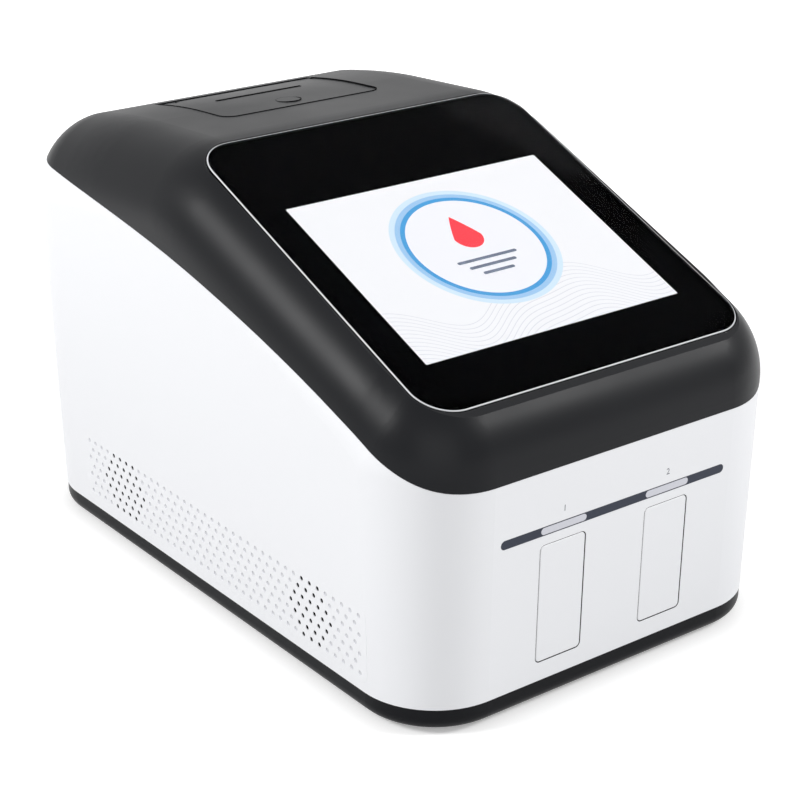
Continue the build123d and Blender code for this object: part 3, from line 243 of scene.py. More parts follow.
class ShaderSheet(NodeSheet):
    """The node tree of a new material."""

    def __init__(self, name: str) -> None:
        """Start a material.

        Args:
            name: Name of the material.
        """
        self.material = bpy.data.materials.new(f"{name}_finish")
        self.material.use_nodes = True
        super().__init__(self.material.node_tree)

    def place(self) -> Socket:
        """Return the Object coordinate of the surface."""
        return self.add("ShaderNodeTexCoord").outputs["Object"]

    def dress(self, sockets: Sockets) -> None:
        """Link or set inputs of the Principled BSDF.

        Args:
            sockets: What goes into each input.
        """
        self.wire(self.tree.nodes["Principled BSDF"], sockets)


class SurfaceGrain:
    """The shared effect of fine moulded or ground texture with slight change of tone."""

    name = "surface_grain"
    inputs = {
        "Place": "Vector", "Grain Scale": "Float", "Tone Scale": "Float", "Dark": "Color",
        "Light": "Color", "Rough Low": "Float", "Rough High": "Float",
    }
    outputs = {"Colour": "Color", "Roughness": "Float", "Height": "Float"}
    detail = {"Grain": 3, "Tone": 4}
    tone_low = 0.3
    tone_high = 0.7

    @classmethod
    def tree(cls) -> bpy.types.NodeTree:
        """Return the node group, built once."""
        return bpy.data.node_groups.get(cls.name) or cls.build()

    @classmethod
    def build(cls) -> bpy.types.NodeTree:
        """Build the node group.

        Returns:
            The group's node tree.
        """
        group = bpy.data.node_groups.new(cls.name, "ShaderNodeTree")
        for in_out, sockets in (("INPUT", cls.inputs), ("OUTPUT", cls.outputs)):
            for label, kind in sockets.items():
                group.interface.new_socket(
                    name=label, in_out=in_out, socket_type=f"NodeSocket{kind}"
                )
        sheet = NodeSheet(group)
        given = sheet.add("NodeGroupInput").outputs
        grain, tone = (
            sheet.add(
                "ShaderNodeTexNoise",
                {"Vector": given["Place"], "Scale": given[f"{word} Scale"], "Detail": detail},
            ).outputs["Fac"]
            for word, detail in cls.detail.items()
        )
        spread = sheet.add("ShaderNodeMapRange", {
            "Value": tone, "From Min": cls.tone_low, "From Max": cls.tone_high,
            "To Min": given["Rough Low"], "To Max": given["Rough High"],
        })
        sheet.add("NodeGroupOutput", {
            "Colour": sheet.blend(tone, given["Dark"], given["Light"]),
            "Roughness": spread.outputs["Result"],
            "Height": grain,
        })
        return group


@dataclass(frozen=True)
class Look:
    """A material that is built at its first use."""

    name: str

    def make(self) -> bpy.types.Material:
        """Return the material."""
        return bpy.data.materials.get(f"{self.name}_finish") or self.sheet().material

    def sheet(self) -> ShaderSheet:
        """Build the nodes of the material."""
        raise NotImplementedError


@dataclass(frozen=True)
class Finish(Look):
    """A solid finish with grain, tone and roughness that change over the surface.

    The grain, tone_scale and stretch are steps in a metre, and bump_reach is in metres.
    """

    colour: Triple
    rough: float = 0.45
    tone: float = 0.05
    rough_spread: float = 0.05
    grain: float = 1800.0
    tone_scale: float = 9.0
    depth: float = 0.05
    bump_reach: float = 0.00012
    metal: float = 0.0
    ior: float = 1.46
    gloss: float = 0.5
    glow: float = 0.0
    stretch: Triple | None = None

    def tint(self, sheet: ShaderSheet, colour: Socket) -> Socket:
        """Return the colour of the surface.

        Args:
            sheet: The material being built.
            colour: The colour with its changes of tone.

        Returns:
            The colour's socket.
        """
        return colour

    def sheet(self) -> ShaderSheet:
        """Build the nodes of the material.

        Returns:
            The material's sheet.
        """
        sheet = ShaderSheet(self.name)
        place = sheet.place()
        if self.stretch:
            turned = sheet.add("ShaderNodeMapping", {"Scale": self.stretch, "Vector": place})
            place = turned.outputs["Vector"]
        grain = sheet.add("ShaderNodeGroup", {
            "Dark": (*(c * (1 - self.tone) for c in self.colour), 1),
            "Light": (*(min(c * (1 + self.tone), 1) for c in self.colour), 1),
            "Grain Scale": self.grain,
            "Tone Scale": self.tone_scale,
            "Rough Low": self.rough - self.rough_spread,
            "Rough High": self.rough + self.rough_spread,
            "Place": place,
        }, node_tree=SurfaceGrain.tree())
        bump = sheet.add("ShaderNodeBump", {
            "Strength": self.depth, "Distance": self.bump_reach, "Height": grain.outputs["Height"],
        })
        sheet.dress({
            "Base Color": self.tint(sheet, grain.outputs["Colour"]),
            "Roughness": grain.outputs["Roughness"],
            "Normal": bump.outputs["Normal"],
            "Metallic": self.metal,
            "IOR": self.ior,
            "Specular IOR Level": self.gloss,
        })
        if self.glow:
            sheet.dress({"Emission Color": (*self.colour, 1), "Emission Strength": self.glow})
        return sheet


@dataclass(frozen=True)
class MouldedFinish(Finish):
    """Moulded plastic whose rounded edges are a little paler, partly worn by rubbing and partly a
    painted highlight.
    """

    # Paleness of the rounded edges: partly rubbing, partly a painted highlight where they catch
    # the light.
    wear: float = 0.12
    wear_reach: float = 0.0006
    wear_start: float = 0.995
    wear_full: float = 0.85
    wear_tone: float = 0.8
    wear_samples: int = 3

    def tint(self, sheet: ShaderSheet, colour: Socket) -> Socket:
        """Return the colour with the paler edges, partly worn and partly painted highlight."""
        edge = sheet.add("ShaderNodeBevel", {"Radius": self.wear_reach}, samples=self.wear_samples)
        flat = sheet.add("ShaderNodeNewGeometry")
        normals = {0: edge.outputs["Normal"], 1: flat.outputs["Normal"]}
        compare = sheet.add("ShaderNodeVectorMath", normals, operation="DOT_PRODUCT")
        turn = sheet.add("ShaderNodeMapRange", {
            "Value": compare.outputs["Value"], "From Min": self.wear_start,
            "From Max": self.wear_full, "To Max": self.wear,
        })
        return sheet.blend(turn.outputs["Result"], colour, grey(self.wear_tone))


@dataclass(frozen=True)
class BoardFinish(Finish):
    """Circuit board with copper tracks under the solder mask."""

    track_scale: float = 260.0
    track_width: float = 0.06
    track_gain: float = 2.2

    def tint(self, sheet: ShaderSheet, colour: Socket) -> Socket:
        """Return the colour with the tracks."""
        tracks = sheet.add("ShaderNodeTexBrick", {
            "Vector": sheet.place(), "Scale": self.track_scale, "Mortar Size": self.track_width,
            "Color1": grey(0), "Color2": grey(0), "Mortar": grey(1),
        })
        copper = (*(min(c * self.track_gain, 1) for c in self.colour), 1)
        return sheet.blend(tracks.outputs["Color"], colour, copper)


@dataclass(frozen=True)
class GlassFinish(Finish):
    """Polished cover glass with a faint breath of dust in its gloss."""

    def sheet(self) -> ShaderSheet:
        """Build the nodes of the glass."""
        sheet = super().sheet()
        sheet.dress({"Transmission Weight": 1.0})
        return sheet


@dataclass(frozen=True)
class PictureFinish(Look):
    """The lit picture: a round dial with drifting lines under it, in millimetres.

    A wave is its turn in a millimetre, its start and its height.
    """

    dial_rings: tuple[tuple[float, Triple], ...] = (
        (0.0, srgb(239, 240, 246)),
        (36.8, srgb(33, 150, 216)),
        (39.4, srgb(150, 195, 235)),
        (42.4, srgb(205, 228, 245)),
        (45.4, srgb(240, 241, 245)),
    )
    ring_span: float = 60.0
    line_pitch: float = 3.1
    line_share: float = 0.13
    line_top: float = -30.0
    line_colour: Triple = srgb(214, 216, 224)
    slow_wave: Triple = (0.052, 0.5, 11.0)
    fast_wave: Triple = (0.11, 0.0, -3.0)
    ground: float = 0.01
    rough: float = 0.5
    glow: float = 1.0

    def sheet(self) -> ShaderSheet:
        """Build the nodes of the picture."""
        sheet = ShaderSheet(self.name)
        flat = sheet.add("ShaderNodeMapping", {
            "Vector": sheet.place(), "Location": SCREEN_FRAME.translation,
            "Rotation": (GLASS_TILT, 0, 0), "Scale": (MM, MM, MM),
        }, vector_type="TEXTURE")
        parts = sheet.add("ShaderNodeSeparateXYZ", {"Vector": flat.outputs["Vector"]})
        across, up = parts.outputs["X"], parts.outputs["Y"]
        east, north = (
            sheet.maths("SUBTRACT", value, middle)
            for value, middle in zip((across, up), DIAL_CENTRE)
        )
        squares = (sheet.maths("MULTIPLY", value, value) for value in (east, north))
        reach = sheet.maths("SQRT", sheet.maths("ADD", *squares))
        outside = sheet.maths("GREATER_THAN", reach, self.dial_rings[-1][0])
        lines = sheet.maths("MULTIPLY", self.lines(sheet, across, up), outside)
        colours = self.rings(sheet, reach)
        sheet.dress({
            "Emission Color": sheet.blend(lines, colours, (*self.line_colour, 1)),
            "Emission Strength": self.glow,
            "Base Color": grey(self.ground),
            "Roughness": self.rough,
        })
        return sheet

    def rings(self, sheet: ShaderSheet, reach: Socket) -> Socket:
        """Return the colour of the rings round the dial's centre.

        Args:
            sheet: The material being built.
            reach: Distance from the dial's centre.

        Returns:
            The colour's socket.
        """
        ramp = sheet.add("ShaderNodeValToRGB", {0: sheet.maths("DIVIDE", reach, self.ring_span)})
        ramp.color_ramp.interpolation = "CONSTANT"
        stops = ramp.color_ramp.elements
        for index, (radius, colour) in enumerate(self.dial_rings):
            share = radius / self.ring_span
            stop = stops[index] if index < 2 else stops.new(share)
            stop.position = share
            stop.color = (*colour, 1)
        return ramp.outputs["Color"]

    def lines(self, sheet: ShaderSheet, across: Socket, up: Socket) -> Socket:
        """Return a mask of the drifting lines in the lower part of the picture.

        Args:
            sheet: The material being built.
            across: Place from left to right.
            up: Place up the slope.

        Returns:
            The mask's socket.
        """
        drift = up
        for turn, start, height in (self.slow_wave, self.fast_wave):
            wave = sheet.maths("SINE", sheet.maths("MULTIPLY_ADD", across, turn, start))
            drift = sheet.maths("SUBTRACT", drift, sheet.maths("MULTIPLY", wave, height))
        part = sheet.maths("FRACT", sheet.maths("DIVIDE", drift, self.line_pitch))
        line = sheet.maths("LESS_THAN", part, self.line_share)
        return sheet.maths("MULTIPLY", line, sheet.maths("LESS_THAN", drift, self.line_top))


WHITE_SHELL = MouldedFinish(
    "white_shell", srgb(238, 239, 242), rough=0.42, tone=0.008, wear=0.0, depth=0.06, gloss=0.3
)
DIMPLE_SHADE = MouldedFinish(
    "dimple_shade", srgb(212, 213, 217), rough=0.6, tone=0.02, wear=0.0, gloss=0.0
)
BLACK_SHELL = MouldedFinish(
    "black_shell", srgb(20, 21, 24), rough=0.37, wear=0.02, depth=0.10, gloss=0.15
)
BASE_PLASTIC = MouldedFinish(
    "base_plastic", srgb(16, 17, 20), rough=0.4, tone=0.06, wear=0.03, depth=0.10, gloss=0.1
)
FOOT_RUBBER = Finish("foot_rubber", srgb(32, 32, 33), rough=0.8, depth=0.3)
SCREEN_GLASS = GlassFinish(
    "screen_glass", (1.0, 1.0, 1.0), rough=0.005, rough_spread=0.003, tone=0.0, depth=0.0, ior=1.04
)
BORDER_INK = Finish("border_ink", srgb(1, 1, 2), rough=0.8, tone=0.2, gloss=0.0)
LCD_EDGE = Finish("lcd_edge", srgb(60, 62, 66), rough=0.5)
PICTURE = PictureFinish("lit_picture")
# Pale grey strip on the glass bevel, a painted highlight.
GLASS_EDGE_HIGHLIGHT = Finish("glass_edge_highlight", srgb(205, 207, 210), rough=0.3, tone=0.06)
ZINC_SHEET = Finish(
    "zinc_sheet", srgb(170, 173, 176), rough=0.35, metal=1.0, tone=0.12, tone_scale=60.0
)
STEEL = Finish(
    "ground_steel", srgb(180, 181, 183), rough=0.22, metal=1.0, stretch=(40.0, 1.0, 40.0),
    grain=120.0,
)
SCREW_STEEL = Finish("screw_steel", srgb(150, 150, 152), rough=0.28, metal=1.0, tone=0.1)
STRIP_SLATE = MouldedFinish("strip_slate", srgb(50, 55, 68), rough=0.35, wear=0.04, gloss=0.2)
DIFFUSER = Finish(
    "light_diffuser", srgb(210, 211, 219), rough=0.35, tone=0.03, tone_scale=80.0, gloss=0.3
)
BOARD = BoardFinish("circuit_board", srgb(22, 84, 52), rough=0.35, tone=0.1)
CARRIER = MouldedFinish("carrier_plastic", srgb(96, 99, 105), rough=0.4, wear=0.08)
NYLON = MouldedFinish("gear_nylon", srgb(228, 224, 212), rough=0.38, wear=0.0, tone=0.03)
MOTOR_PAINT = Finish("motor_paint", srgb(44, 44, 46), rough=0.35, tone=0.1, metal=0.6)
ANODISED = Finish("anodised_metal", srgb(92, 94, 98), rough=0.38, metal=1.0, tone=0.06)
FRAME_PLASTIC = MouldedFinish("frame_plastic", srgb(52, 53, 56), wear=0.06)
PAPER = Finish(
    "receipt_paper", srgb(240, 240, 236), rough=0.75, tone=0.02, grain=900.0, depth=0.15
)
CARD = Finish("core_card", srgb(168, 142, 108), rough=0.85, tone=0.1, grain=500.0, depth=0.3)
ROLLER = Finish("roller_rubber", srgb(40, 40, 42), rough=0.7, depth=0.25)
CERAMIC = Finish("head_ceramic", srgb(205, 203, 196), rough=0.15, tone=0.03)
TINNED = Finish(
    "tinned_shell", srgb(190, 191, 193), rough=0.25, metal=1.0, tone=0.06, tone_scale=120.0
)
SHEET_METAL = Finish(
    "supply_sheet", srgb(176, 178, 182), rough=0.4, metal=1.0, tone=0.08, tone_scale=45.0
)
SINK_METAL = Finish("heat_sink_metal", srgb(70, 71, 75), rough=0.4, metal=1.0, tone=0.08)
ROCKER = MouldedFinish("rocker_plastic", srgb(30, 30, 32), rough=0.22, wear=0.03)
PRINT_GREY = Finish("printed_grey", srgb(92, 95, 102), rough=0.5, tone=0.06)
# Near-black rims in the gaps round the lid, its slot, its button and the doors: painted shade of
# the gaps.
SEAM_SHADE = Finish("seam_painted_shade", srgb(7, 7, 8), rough=0.8, tone=0.1, gloss=0.1, depth=0.2)
# Near-black cloth of the screen behind the open vents and of its spigots in the holes: painted
# shade inside the vents.
VENT_SHADE_CLOTH = Finish(
    "dust_screen_and_vent_shade", srgb(14, 14, 16), rough=0.9, tone=0.3, gloss=0.1, grain=2600.0, depth=0.6
)
ICON_RED = Finish("icon_red", srgb(200, 30, 42), rough=0.6, tone=0.02, glow=0.95)
ICON_INK = Finish("icon_ink", srgb(72, 80, 96), rough=0.6, tone=0.02, glow=0.9)

FINISH_NODES: tuple[tuple[Finish, tuple[str, ...]], ...] = (
    (WHITE_SHELL, ("housing", "left_door", "right_door")),
    (BLACK_SHELL, ("top_cover", "printer_lid", "lid_button")),
    (BASE_PLASTIC, ("base_tray",)),
    (FOOT_RUBBER, ("rubber_feet",)),
    (SCREEN_GLASS, ("display_glass",)),
    (LCD_EDGE, ("lcd_panel",)),
    (ZINC_SHEET, ("lcd_bracket", "chassis_plate", "motor_bracket")),
    (SCREW_STEEL, ("case_screws", "chassis_bolts", "bracket_bolts", "board_standoffs")),
    (STEEL, ("left_rods", "right_rods", "hinge_pin", "platen_axle")),
    (STRIP_SLATE, ("front_strip",)),
    (DIFFUSER, ("left_light", "right_light")),
    (BOARD, ("led_strip", "display_board", "mainboard")),
    (CARRIER, ("left_carrier", "right_carrier")),
    (NYLON, ("left_rack", "right_rack", "left_pinion", "right_pinion")),
    (FRAME_PLASTIC, (
        "left_slide", "right_slide", "printer_well", "button_cup", "roll_spindle",
        "power_inlet", "switch_frame", "fan_frame", "fan_rotor",
    )),
    (MOTOR_PAINT, ("left_motor", "right_motor")),
    (ANODISED, ("left_optics", "right_optics")),
    (SHEET_METAL, ("head_mount", "power_supply")),
    (CERAMIC, ("print_head",)),
    (ROLLER, ("platen_rubber",)),
    (PAPER, ("paper_roll",)),
    (CARD, ("roll_core",)),
    (SINK_METAL, ("heat_sink",)),
    (TINNED, ("lan_socket", "usb_socket")),
    (ROCKER, ("switch_rocker",)),
)


# Pieces


class Workpiece:
    """A mesh under construction on a face of the machine, and the object that it becomes.

    Sizes and places are in millimetres in the frame of the face, whose Z axis points out.
    """

    def __init__(self, name: str, frame: Matrix) -> None:
        """Start an empty mesh.

        Args:
            name: Name of the piece.
            frame: Frame of the face that it lies on.
        """
        self.name = name
        self.frame = frame
        self.bm = bmesh.new()

    def out(self, distance: float) -> Vector:
        """Return a move straight out of the face in metres, or into it if it is negative."""
        return self.frame.to_3x3() @ Vector((0, 0, 1)) * MM * distance

    def rounded_face(
        self, centre: Triple, size: Pair, radius: float, segments: int = 8, grow: float = 0.0
    ) -> Face:
        """Add a flat rounded rectangle.

        Args:
            centre: Its centre.
            size: Size along the frame's X and Y axes.
            radius: Corner radius.
            segments: Steps in each corner.
            grow: How much further out the whole outline lies.

        Returns:
            The new face.
        """
        scale = Matrix.Diagonal((*((length + 2 * grow) * MM for length in size), 1, 1))
        place = self.frame @ Matrix.Translation(Vector(centre) * MM) @ scale
        made = bmesh.ops.create_grid(self.bm, x_segments=1, y_segments=1, size=0.5, matrix=place)
        radius += grow
        if radius > 0:
            made = bmesh.ops.bevel(
                self.bm, geom=made["verts"], offset=radius * MM, offset_type="OFFSET",
                segments=segments, profile=0.5, affect="VERTICES", material=-1,
            )
        return max(made["verts"][0].link_faces, key=lambda face: len(face.verts))

    def circle(
        self, centre: Triple, radius: float, segments: int, filled: bool = True
    ) -> list[bmesh.types.BMVert]:
        """Add a flat disc or a ring of edges.

        Args:
            centre: Its centre.
            radius: Its radius.
            segments: Steps round it.
            filled: Whether it has a face.

        Returns:
            The new vertices.
        """
        return bmesh.ops.create_circle(
            self.bm, cap_ends=filled, segments=segments, radius=radius * MM,
            matrix=self.frame @ Matrix.Translation(Vector(centre) * MM),
        )["verts"]

    def outline(self, face: Face) -> list[bmesh.types.BMEdge]:
        """Take a face away and keep its edges.

        Args:
            face: The face.

        Returns:
            Its edges.
        """
        edges = list(face.edges)
        bmesh.ops.delete(self.bm, geom=[face], context="FACES_ONLY")
        return edges

    def fill(self, edges: list[bmesh.types.BMEdge]) -> list[Face]:
        """Fill the space between an outline and the holes in it.

        Args:
            edges: The edges of the outline and of the holes.

        Returns:
            The new faces.
        """
        made = bmesh.ops.triangle_fill(self.bm, edges=edges, use_beauty=True)
        return [item for item in made["geom"] if isinstance(item, Face)]

    def inset(self, face: Face, width: float) -> None:
        """Shrink a face inside a new rim.

        Args:
            face: The face.
            width: Width of the rim.
        """
        bmesh.ops.inset_region(
            self.bm, faces=[face], thickness=width * MM, use_even_offset=True, use_boundary=True
        )

    def rim(self, face: Face, width: float) -> None:
        """Cut a face down to its rim.

        Args:
            face: The face.
            width: Width of the rim.
        """
        self.inset(face, width)
        bmesh.ops.delete(self.bm, geom=[face], context="FACES")

    def thicken(self, depth: float, faces: list[Face] | None = None) -> None:
        """Pull flat faces out into closed solids.

        Args:
            depth: How far out the copy of the faces moves, or in if it is negative.
            faces: The faces. Without them, all faces are pulled.
        """
        made = bmesh.ops.extrude_face_region(
            self.bm, geom=faces or list(self.bm.faces), use_keep_orig=True
        )
        moved = [item for item in made["geom"] if isinstance(item, bmesh.types.BMVert)]
        bmesh.ops.translate(self.bm, vec=self.out(depth), verts=moved)

    def block(self, centre: Triple, size: Triple, bevel: float) -> None:
        """Add a block with softened edges.

        Args:
            centre: Its centre.
            size: Its three sizes.
            bevel: Width of the softened edges.
        """
        scale = Matrix.Diagonal((*(length * MM for length in size), 1))
        place = self.frame @ Matrix.Translation(Vector(centre) * MM) @ scale
        made = bmesh.ops.create_cube(self.bm, size=1.0, matrix=place)
        edges = list({edge for vert in made["verts"] for edge in vert.link_edges})
        bmesh.ops.bevel(
            self.bm, geom=edges, offset=bevel * MM, offset_type="OFFSET", segments=2,
            profile=0.5, affect="EDGES", material=-1,
        )

    def finish(self, body: str, finish: Look, slot: str, smooth: bool = False) -> None:
        """Turn the mesh into an object that rides on a body.

        Args:
            body: Name of the body.
            finish: Its finish.
            slot: The record's material slot, not used.
            smooth: Whether its faces are shaded smooth.
        """
        bmesh.ops.recalc_face_normals(self.bm, faces=self.bm.faces)
        mesh = bpy.data.meshes.new(self.name)
        for face in self.bm.faces:
            face.smooth = smooth
        self.bm.to_mesh(mesh)
        self.bm.free()
        mesh.materials.append(finish.make())
        piece = stand(self.name, mesh)
        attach(piece, body)


@dataclass(frozen=True)
class ScreenStack:
    """What lies under and round the cover glass, in millimetres on the slope of the screen."""

    glass_size: Pair = (205.0, 214.0)
    glass_corner: float = 20.0
    glass_rise: float = 11.0
    glass_proud: float = 0.3
    glass_bevel: float = 0.4
    # Width, lift and thickness of the pale strip on the bevel, a painted highlight.
    edge_line: float = 0.3
    edge_lift: float = 0.02
    edge_film: float = 0.02
    picture_size: Pair = (162.5, 123.5)
    picture_lift: float = -0.2
    picture_margin: float = 1.0
    picture_corner: float = 0.6
    ink_margin: float = 0.3
    ink_top: float = -1.74
    ink_bottom: float = -1.80
    picture_top: float = -1.84
    picture_bottom: float = -1.88
    sign_bottom: float = -1.835
    sign_film: float = 0.02
    drop_rise: float = 7.5
    drop_radius: float = 8.6
    drop_taper: float = 0.45
    drop_tip: float = 8.4
    drop_curve: float = 1.6
    bar_lengths: Triple = (38.0, 30.0, 20.0)
    bar_width: float = 2.0
    bar_corner: float = 0.99
    bar_start: float = 9.5
    bar_pitch: float = 5.2

    def build(self) -> None:
        """Make the printed border, the lit picture, its signs and the painted highlight on the
        glass edge.
        """
        self.border()
        self.picture()
        self.drop()
        self.bars()
        self.edge()

    def border(self) -> None:
        """Make the black print under the glass, with its window."""
        piece = Workpiece("border_print", SCREEN_FRAME)
        outer = piece.rounded_face(
            (0, self.glass_rise, self.ink_bottom), self.glass_size, self.glass_corner,
            segments=12, grow=-self.ink_margin,
        )
        edges = piece.outline(outer)
        window = piece.rounded_face(
            (0, self.picture_lift, self.ink_bottom), self.picture_size, self.picture_corner,
            segments=3,
        )
        faces = piece.fill(edges + piece.outline(window))
        piece.thicken(self.ink_top - self.ink_bottom, faces)
        piece.finish("casing", BORDER_INK, "screen_glass")

    def picture(self) -> None:
        """Make the lit picture, which reaches under the print on all sides of the window."""
        piece = Workpiece("lit_picture", SCREEN_FRAME)
        piece.rounded_face(
            (0, self.picture_lift, self.picture_bottom), self.picture_size,
            self.picture_corner - self.picture_margin, segments=3, grow=self.picture_margin,
        )
        piece.thicken(self.picture_top - self.picture_bottom)
        piece.finish("casing", PICTURE, "lcd_face")

    def drop(self) -> None:
        """Make the plain drop sign in the middle of the dial, a disc drawn out to a tip."""
        piece = Workpiece("drop_sign", SCREEN_FRAME)
        x, y = DIAL_CENTRE[0], DIAL_CENTRE[1] + self.drop_rise
        inverse = SCREEN_FRAME.inverted()
        for vert in piece.circle((x, y, self.sign_bottom), self.drop_radius, segments=64):
            flat = inverse @ vert.co
            rise = max(flat.y / MM - y, 0) / self.drop_radius
            width = (1 - min(rise, 1)) ** self.drop_taper
            flat.x = x * MM + (flat.x - x * MM) * width
            flat.y += rise ** self.drop_curve * self.drop_tip * MM
            vert.co = SCREEN_FRAME @ flat
        piece.thicken(self.sign_film)
        piece.finish("casing", ICON_RED, "lcd_face")

    def bars(self) -> None:
        """Make the three plain bars under the drop."""
        piece = Workpiece("dial_bars", SCREEN_FRAME)
        x, y = DIAL_CENTRE
        for row, length in enumerate(self.bar_lengths):
            centre = (x, y - self.bar_start - self.bar_pitch * row, self.sign_bottom)
            piece.rounded_face(centre, (length, self.bar_width), self.bar_corner, segments=6)
        piece.thicken(self.sign_film)
        piece.finish("casing", ICON_INK, "lcd_face")

    def edge(self) -> None:
        """Make the pale line on the bevel of the glass, a painted highlight."""
        piece = Workpiece("glass_edge_highlight", SCREEN_FRAME)
        bottom = self.glass_proud - self.glass_bevel + self.edge_lift
        face = piece.rounded_face(
            (0, self.glass_rise, bottom), self.glass_size, self.glass_corner,
            segments=16, grow=self.edge_lift,
        )
        piece.inset(face, self.glass_bevel)
        bmesh.ops.translate(piece.bm, vec=piece.out(self.glass_bevel), verts=list(face.verts))
        piece.rim(face, self.edge_line)
        bmesh.ops.recalc_face_normals(piece.bm, faces=piece.bm.faces)
        bmesh.ops.solidify(piece.bm, geom=list(piece.bm.faces), thickness=self.edge_film * MM)
        piece.finish("casing", GLASS_EDGE_HIGHLIGHT, "screen_glass", smooth=True)


@dataclass(frozen=True)
class SideWall:
    """One leaning side wall with its rows of small round vents, of which two groups are open.

    Places are Y and height above the table, in millimetres. A group is the distance of its
    middle from the front of the wall and its number of vents in the middle row.
    """

    side: Side
    first_vent: float = 45.8
    vents_in_row: int = 39
    rows: int = 7
    pitch: Pair = (6.83, 5.27)
    middle: float = 39.8
    steps: int = 12
    groups: tuple[tuple[float, int], ...] = ((86.8, 6), (267.8, 7))

    @property
    def frame(self) -> Matrix:
        """Return the frame of the wall's outer face, with its X axis to the rear."""
        along = Vector((0, 1, 0))
        out = Vector((self.side.value * math.cos(WALL_LEAN), 0, -math.sin(WALL_LEAN)))
        frame = Matrix((along, out.cross(along), out)).transposed().to_4x4()
        frame.translation = Vector((self.side.value * HALF_WIDTH, 0, WALL_FOOT)) * MM
        return frame

    def spot(self, y: float, height: float, sunk: float) -> Triple:
        """Return a place in the wall's frame.

        Args:
            y: Place along the wall.
            height: Height above the table.
            sunk: Distance behind the outer face.

        Returns:
            The place in millimetres.
        """
        return y, self.side.value * (height - WALL_FOOT) / math.cos(WALL_LEAN), -sunk

    def row_places(self) -> list[tuple[int, float]]:
        """Return the number of each row, counted from the middle one, and its height."""
        half = self.rows // 2
        return [(row, self.middle + row * self.pitch[1]) for row in range(-half, half + 1)]

    def vents(self) -> list[Pair]:
        """Return the place of every vent, open or blind."""
        found = []
        for row, height in self.row_places():
            odd = (row + 1) % 2
            start = -HALF_LENGTH + self.first_vent + odd * self.pitch[0] / 2
            count = self.vents_in_row - odd
            found += [(start + self.pitch[0] * k, height) for k in range(count)]
        return found

    def open_vents(self, back: float, count: int) -> list[Pair]:
        """Return the place of every open vent of a group.

        Args:
            back: Distance of the group's middle from the front of the wall.
            count: Number of vents in its middle row.
        """
        found = []
        for row, height in self.row_places():
            number = count - abs(row)
            start = -HALF_LENGTH + back - (number - 1) / 2 * self.pitch[0]
            found += [(start + self.pitch[0] * k, height) for k in range(number)]
        return found

    def is_open(self, y: float, height: float) -> bool:
        """Return whether the vent at a place is open.

        Args:
            y: Place along the wall.
            height: Height above the table.
        """
        row = round((height - self.middle) / self.pitch[1])
        return any(
            abs(y + HALF_LENGTH - back) < (count - abs(row)) / 2 * self.pitch[0]
            for back, count in self.groups
        )


@dataclass(frozen=True)
class VentSkin:
    """The outer skin of one side wall, with a hole at each vent."""

    wall: SideWall
    front: float = -145.0
    back: float = 127.0
    low: float = 19.0
    high: float = 61.0
    corner: float = 6.0
    depth: float = 0.4
    gap: float = 0.015
    hole_radius: float = 1.3

    def build(self) -> None:
        """Make the skin, which leaves a gap all round in its seat."""
        wall, sunk = self.wall, self.depth - self.gap
        piece = Workpiece(f"{wall.side.word}_vent_skin", wall.frame)
        middle = wall.spot((self.front + self.back) / 2, (self.low + self.high) / 2, sunk)
        size = (self.back - self.front, self.high - self.low)
        edges = piece.outline(piece.rounded_face(middle, size, self.corner, grow=-self.gap))
        vents = wall.vents()
        for y, height in vents:
            spot = wall.spot(y, height, sunk)
            ring = piece.circle(spot, self.hole_radius, wall.steps, filled=False)
            edges += {edge for vert in ring for edge in vert.link_edges}
        piece.thicken(sunk, piece.fill(edges))
        log.info("%s skin: %d vents", wall.side.word, len(vents))
        piece.finish("casing", WHITE_SHELL, "white_shell")


@dataclass(frozen=True)
class DimpleFloors:
    """The shaded floors of the blind dimples between the open vents of one side."""

    wall: SideWall
    radius: float = 1.27
    sunk: float = 0.385
    sheet: float = 0.03

    def build(self) -> None:
        """Make the floors."""
        wall = self.wall
        piece = Workpiece(f"{wall.side.word}_dimple_floors", wall.frame)
        for y, height in wall.vents():
            if not wall.is_open(y, height):
                piece.circle(wall.spot(y, height, self.sunk), self.radius, wall.steps)
        piece.thicken(self.sheet)
        piece.finish("casing", DIMPLE_SHADE, "white_shell")


@dataclass(frozen=True)
class DustScreen:
    """Dark screen behind the open vents of one side, with dark spigots that line the openings;
    their black is painted shade inside the vents.
    """

    wall: SideWall
    spigot_radius: float = 1.28
    spigot_wall: float = 0.16
    spigot_start: float = 0.43
    inner_face: float = 2.5
    plate: float = 0.4
    plate_gap: float = 0.06
    plate_bevel: float = 0.1
    margin: float = 3.0

    def build(self) -> None:
        """Make the screen."""
        wall = self.wall
        piece = Workpiece(f"{wall.side.word}_dust_screen_and_vent_shade", wall.frame)
        plate_middle = self.inner_face + self.plate_gap + self.plate / 2
        discs = []
        for back, count in wall.groups:
            for y, height in wall.open_vents(back, count):
                spot = wall.spot(y, height, self.inner_face)
                discs += piece.circle(spot, self.spigot_radius, wall.steps)[0].link_faces
            numbers = zip((count, wall.rows), wall.pitch)
            area = (number * pitch + self.margin for number, pitch in numbers)
            centre = wall.spot(back - HALF_LENGTH, wall.middle, plate_middle)
            piece.block(centre, (*area, self.plate), self.plate_bevel)
        rims = bmesh.ops.inset_individual(
            piece.bm, faces=discs, thickness=self.spigot_wall * MM, use_even_offset=True
        )["faces"]
        bmesh.ops.delete(piece.bm, geom=discs, context="FACES")
        piece.thicken(self.inner_face - self.spigot_start, rims)
        piece.finish("casing", VENT_SHADE_CLOTH, "frame_plastic")


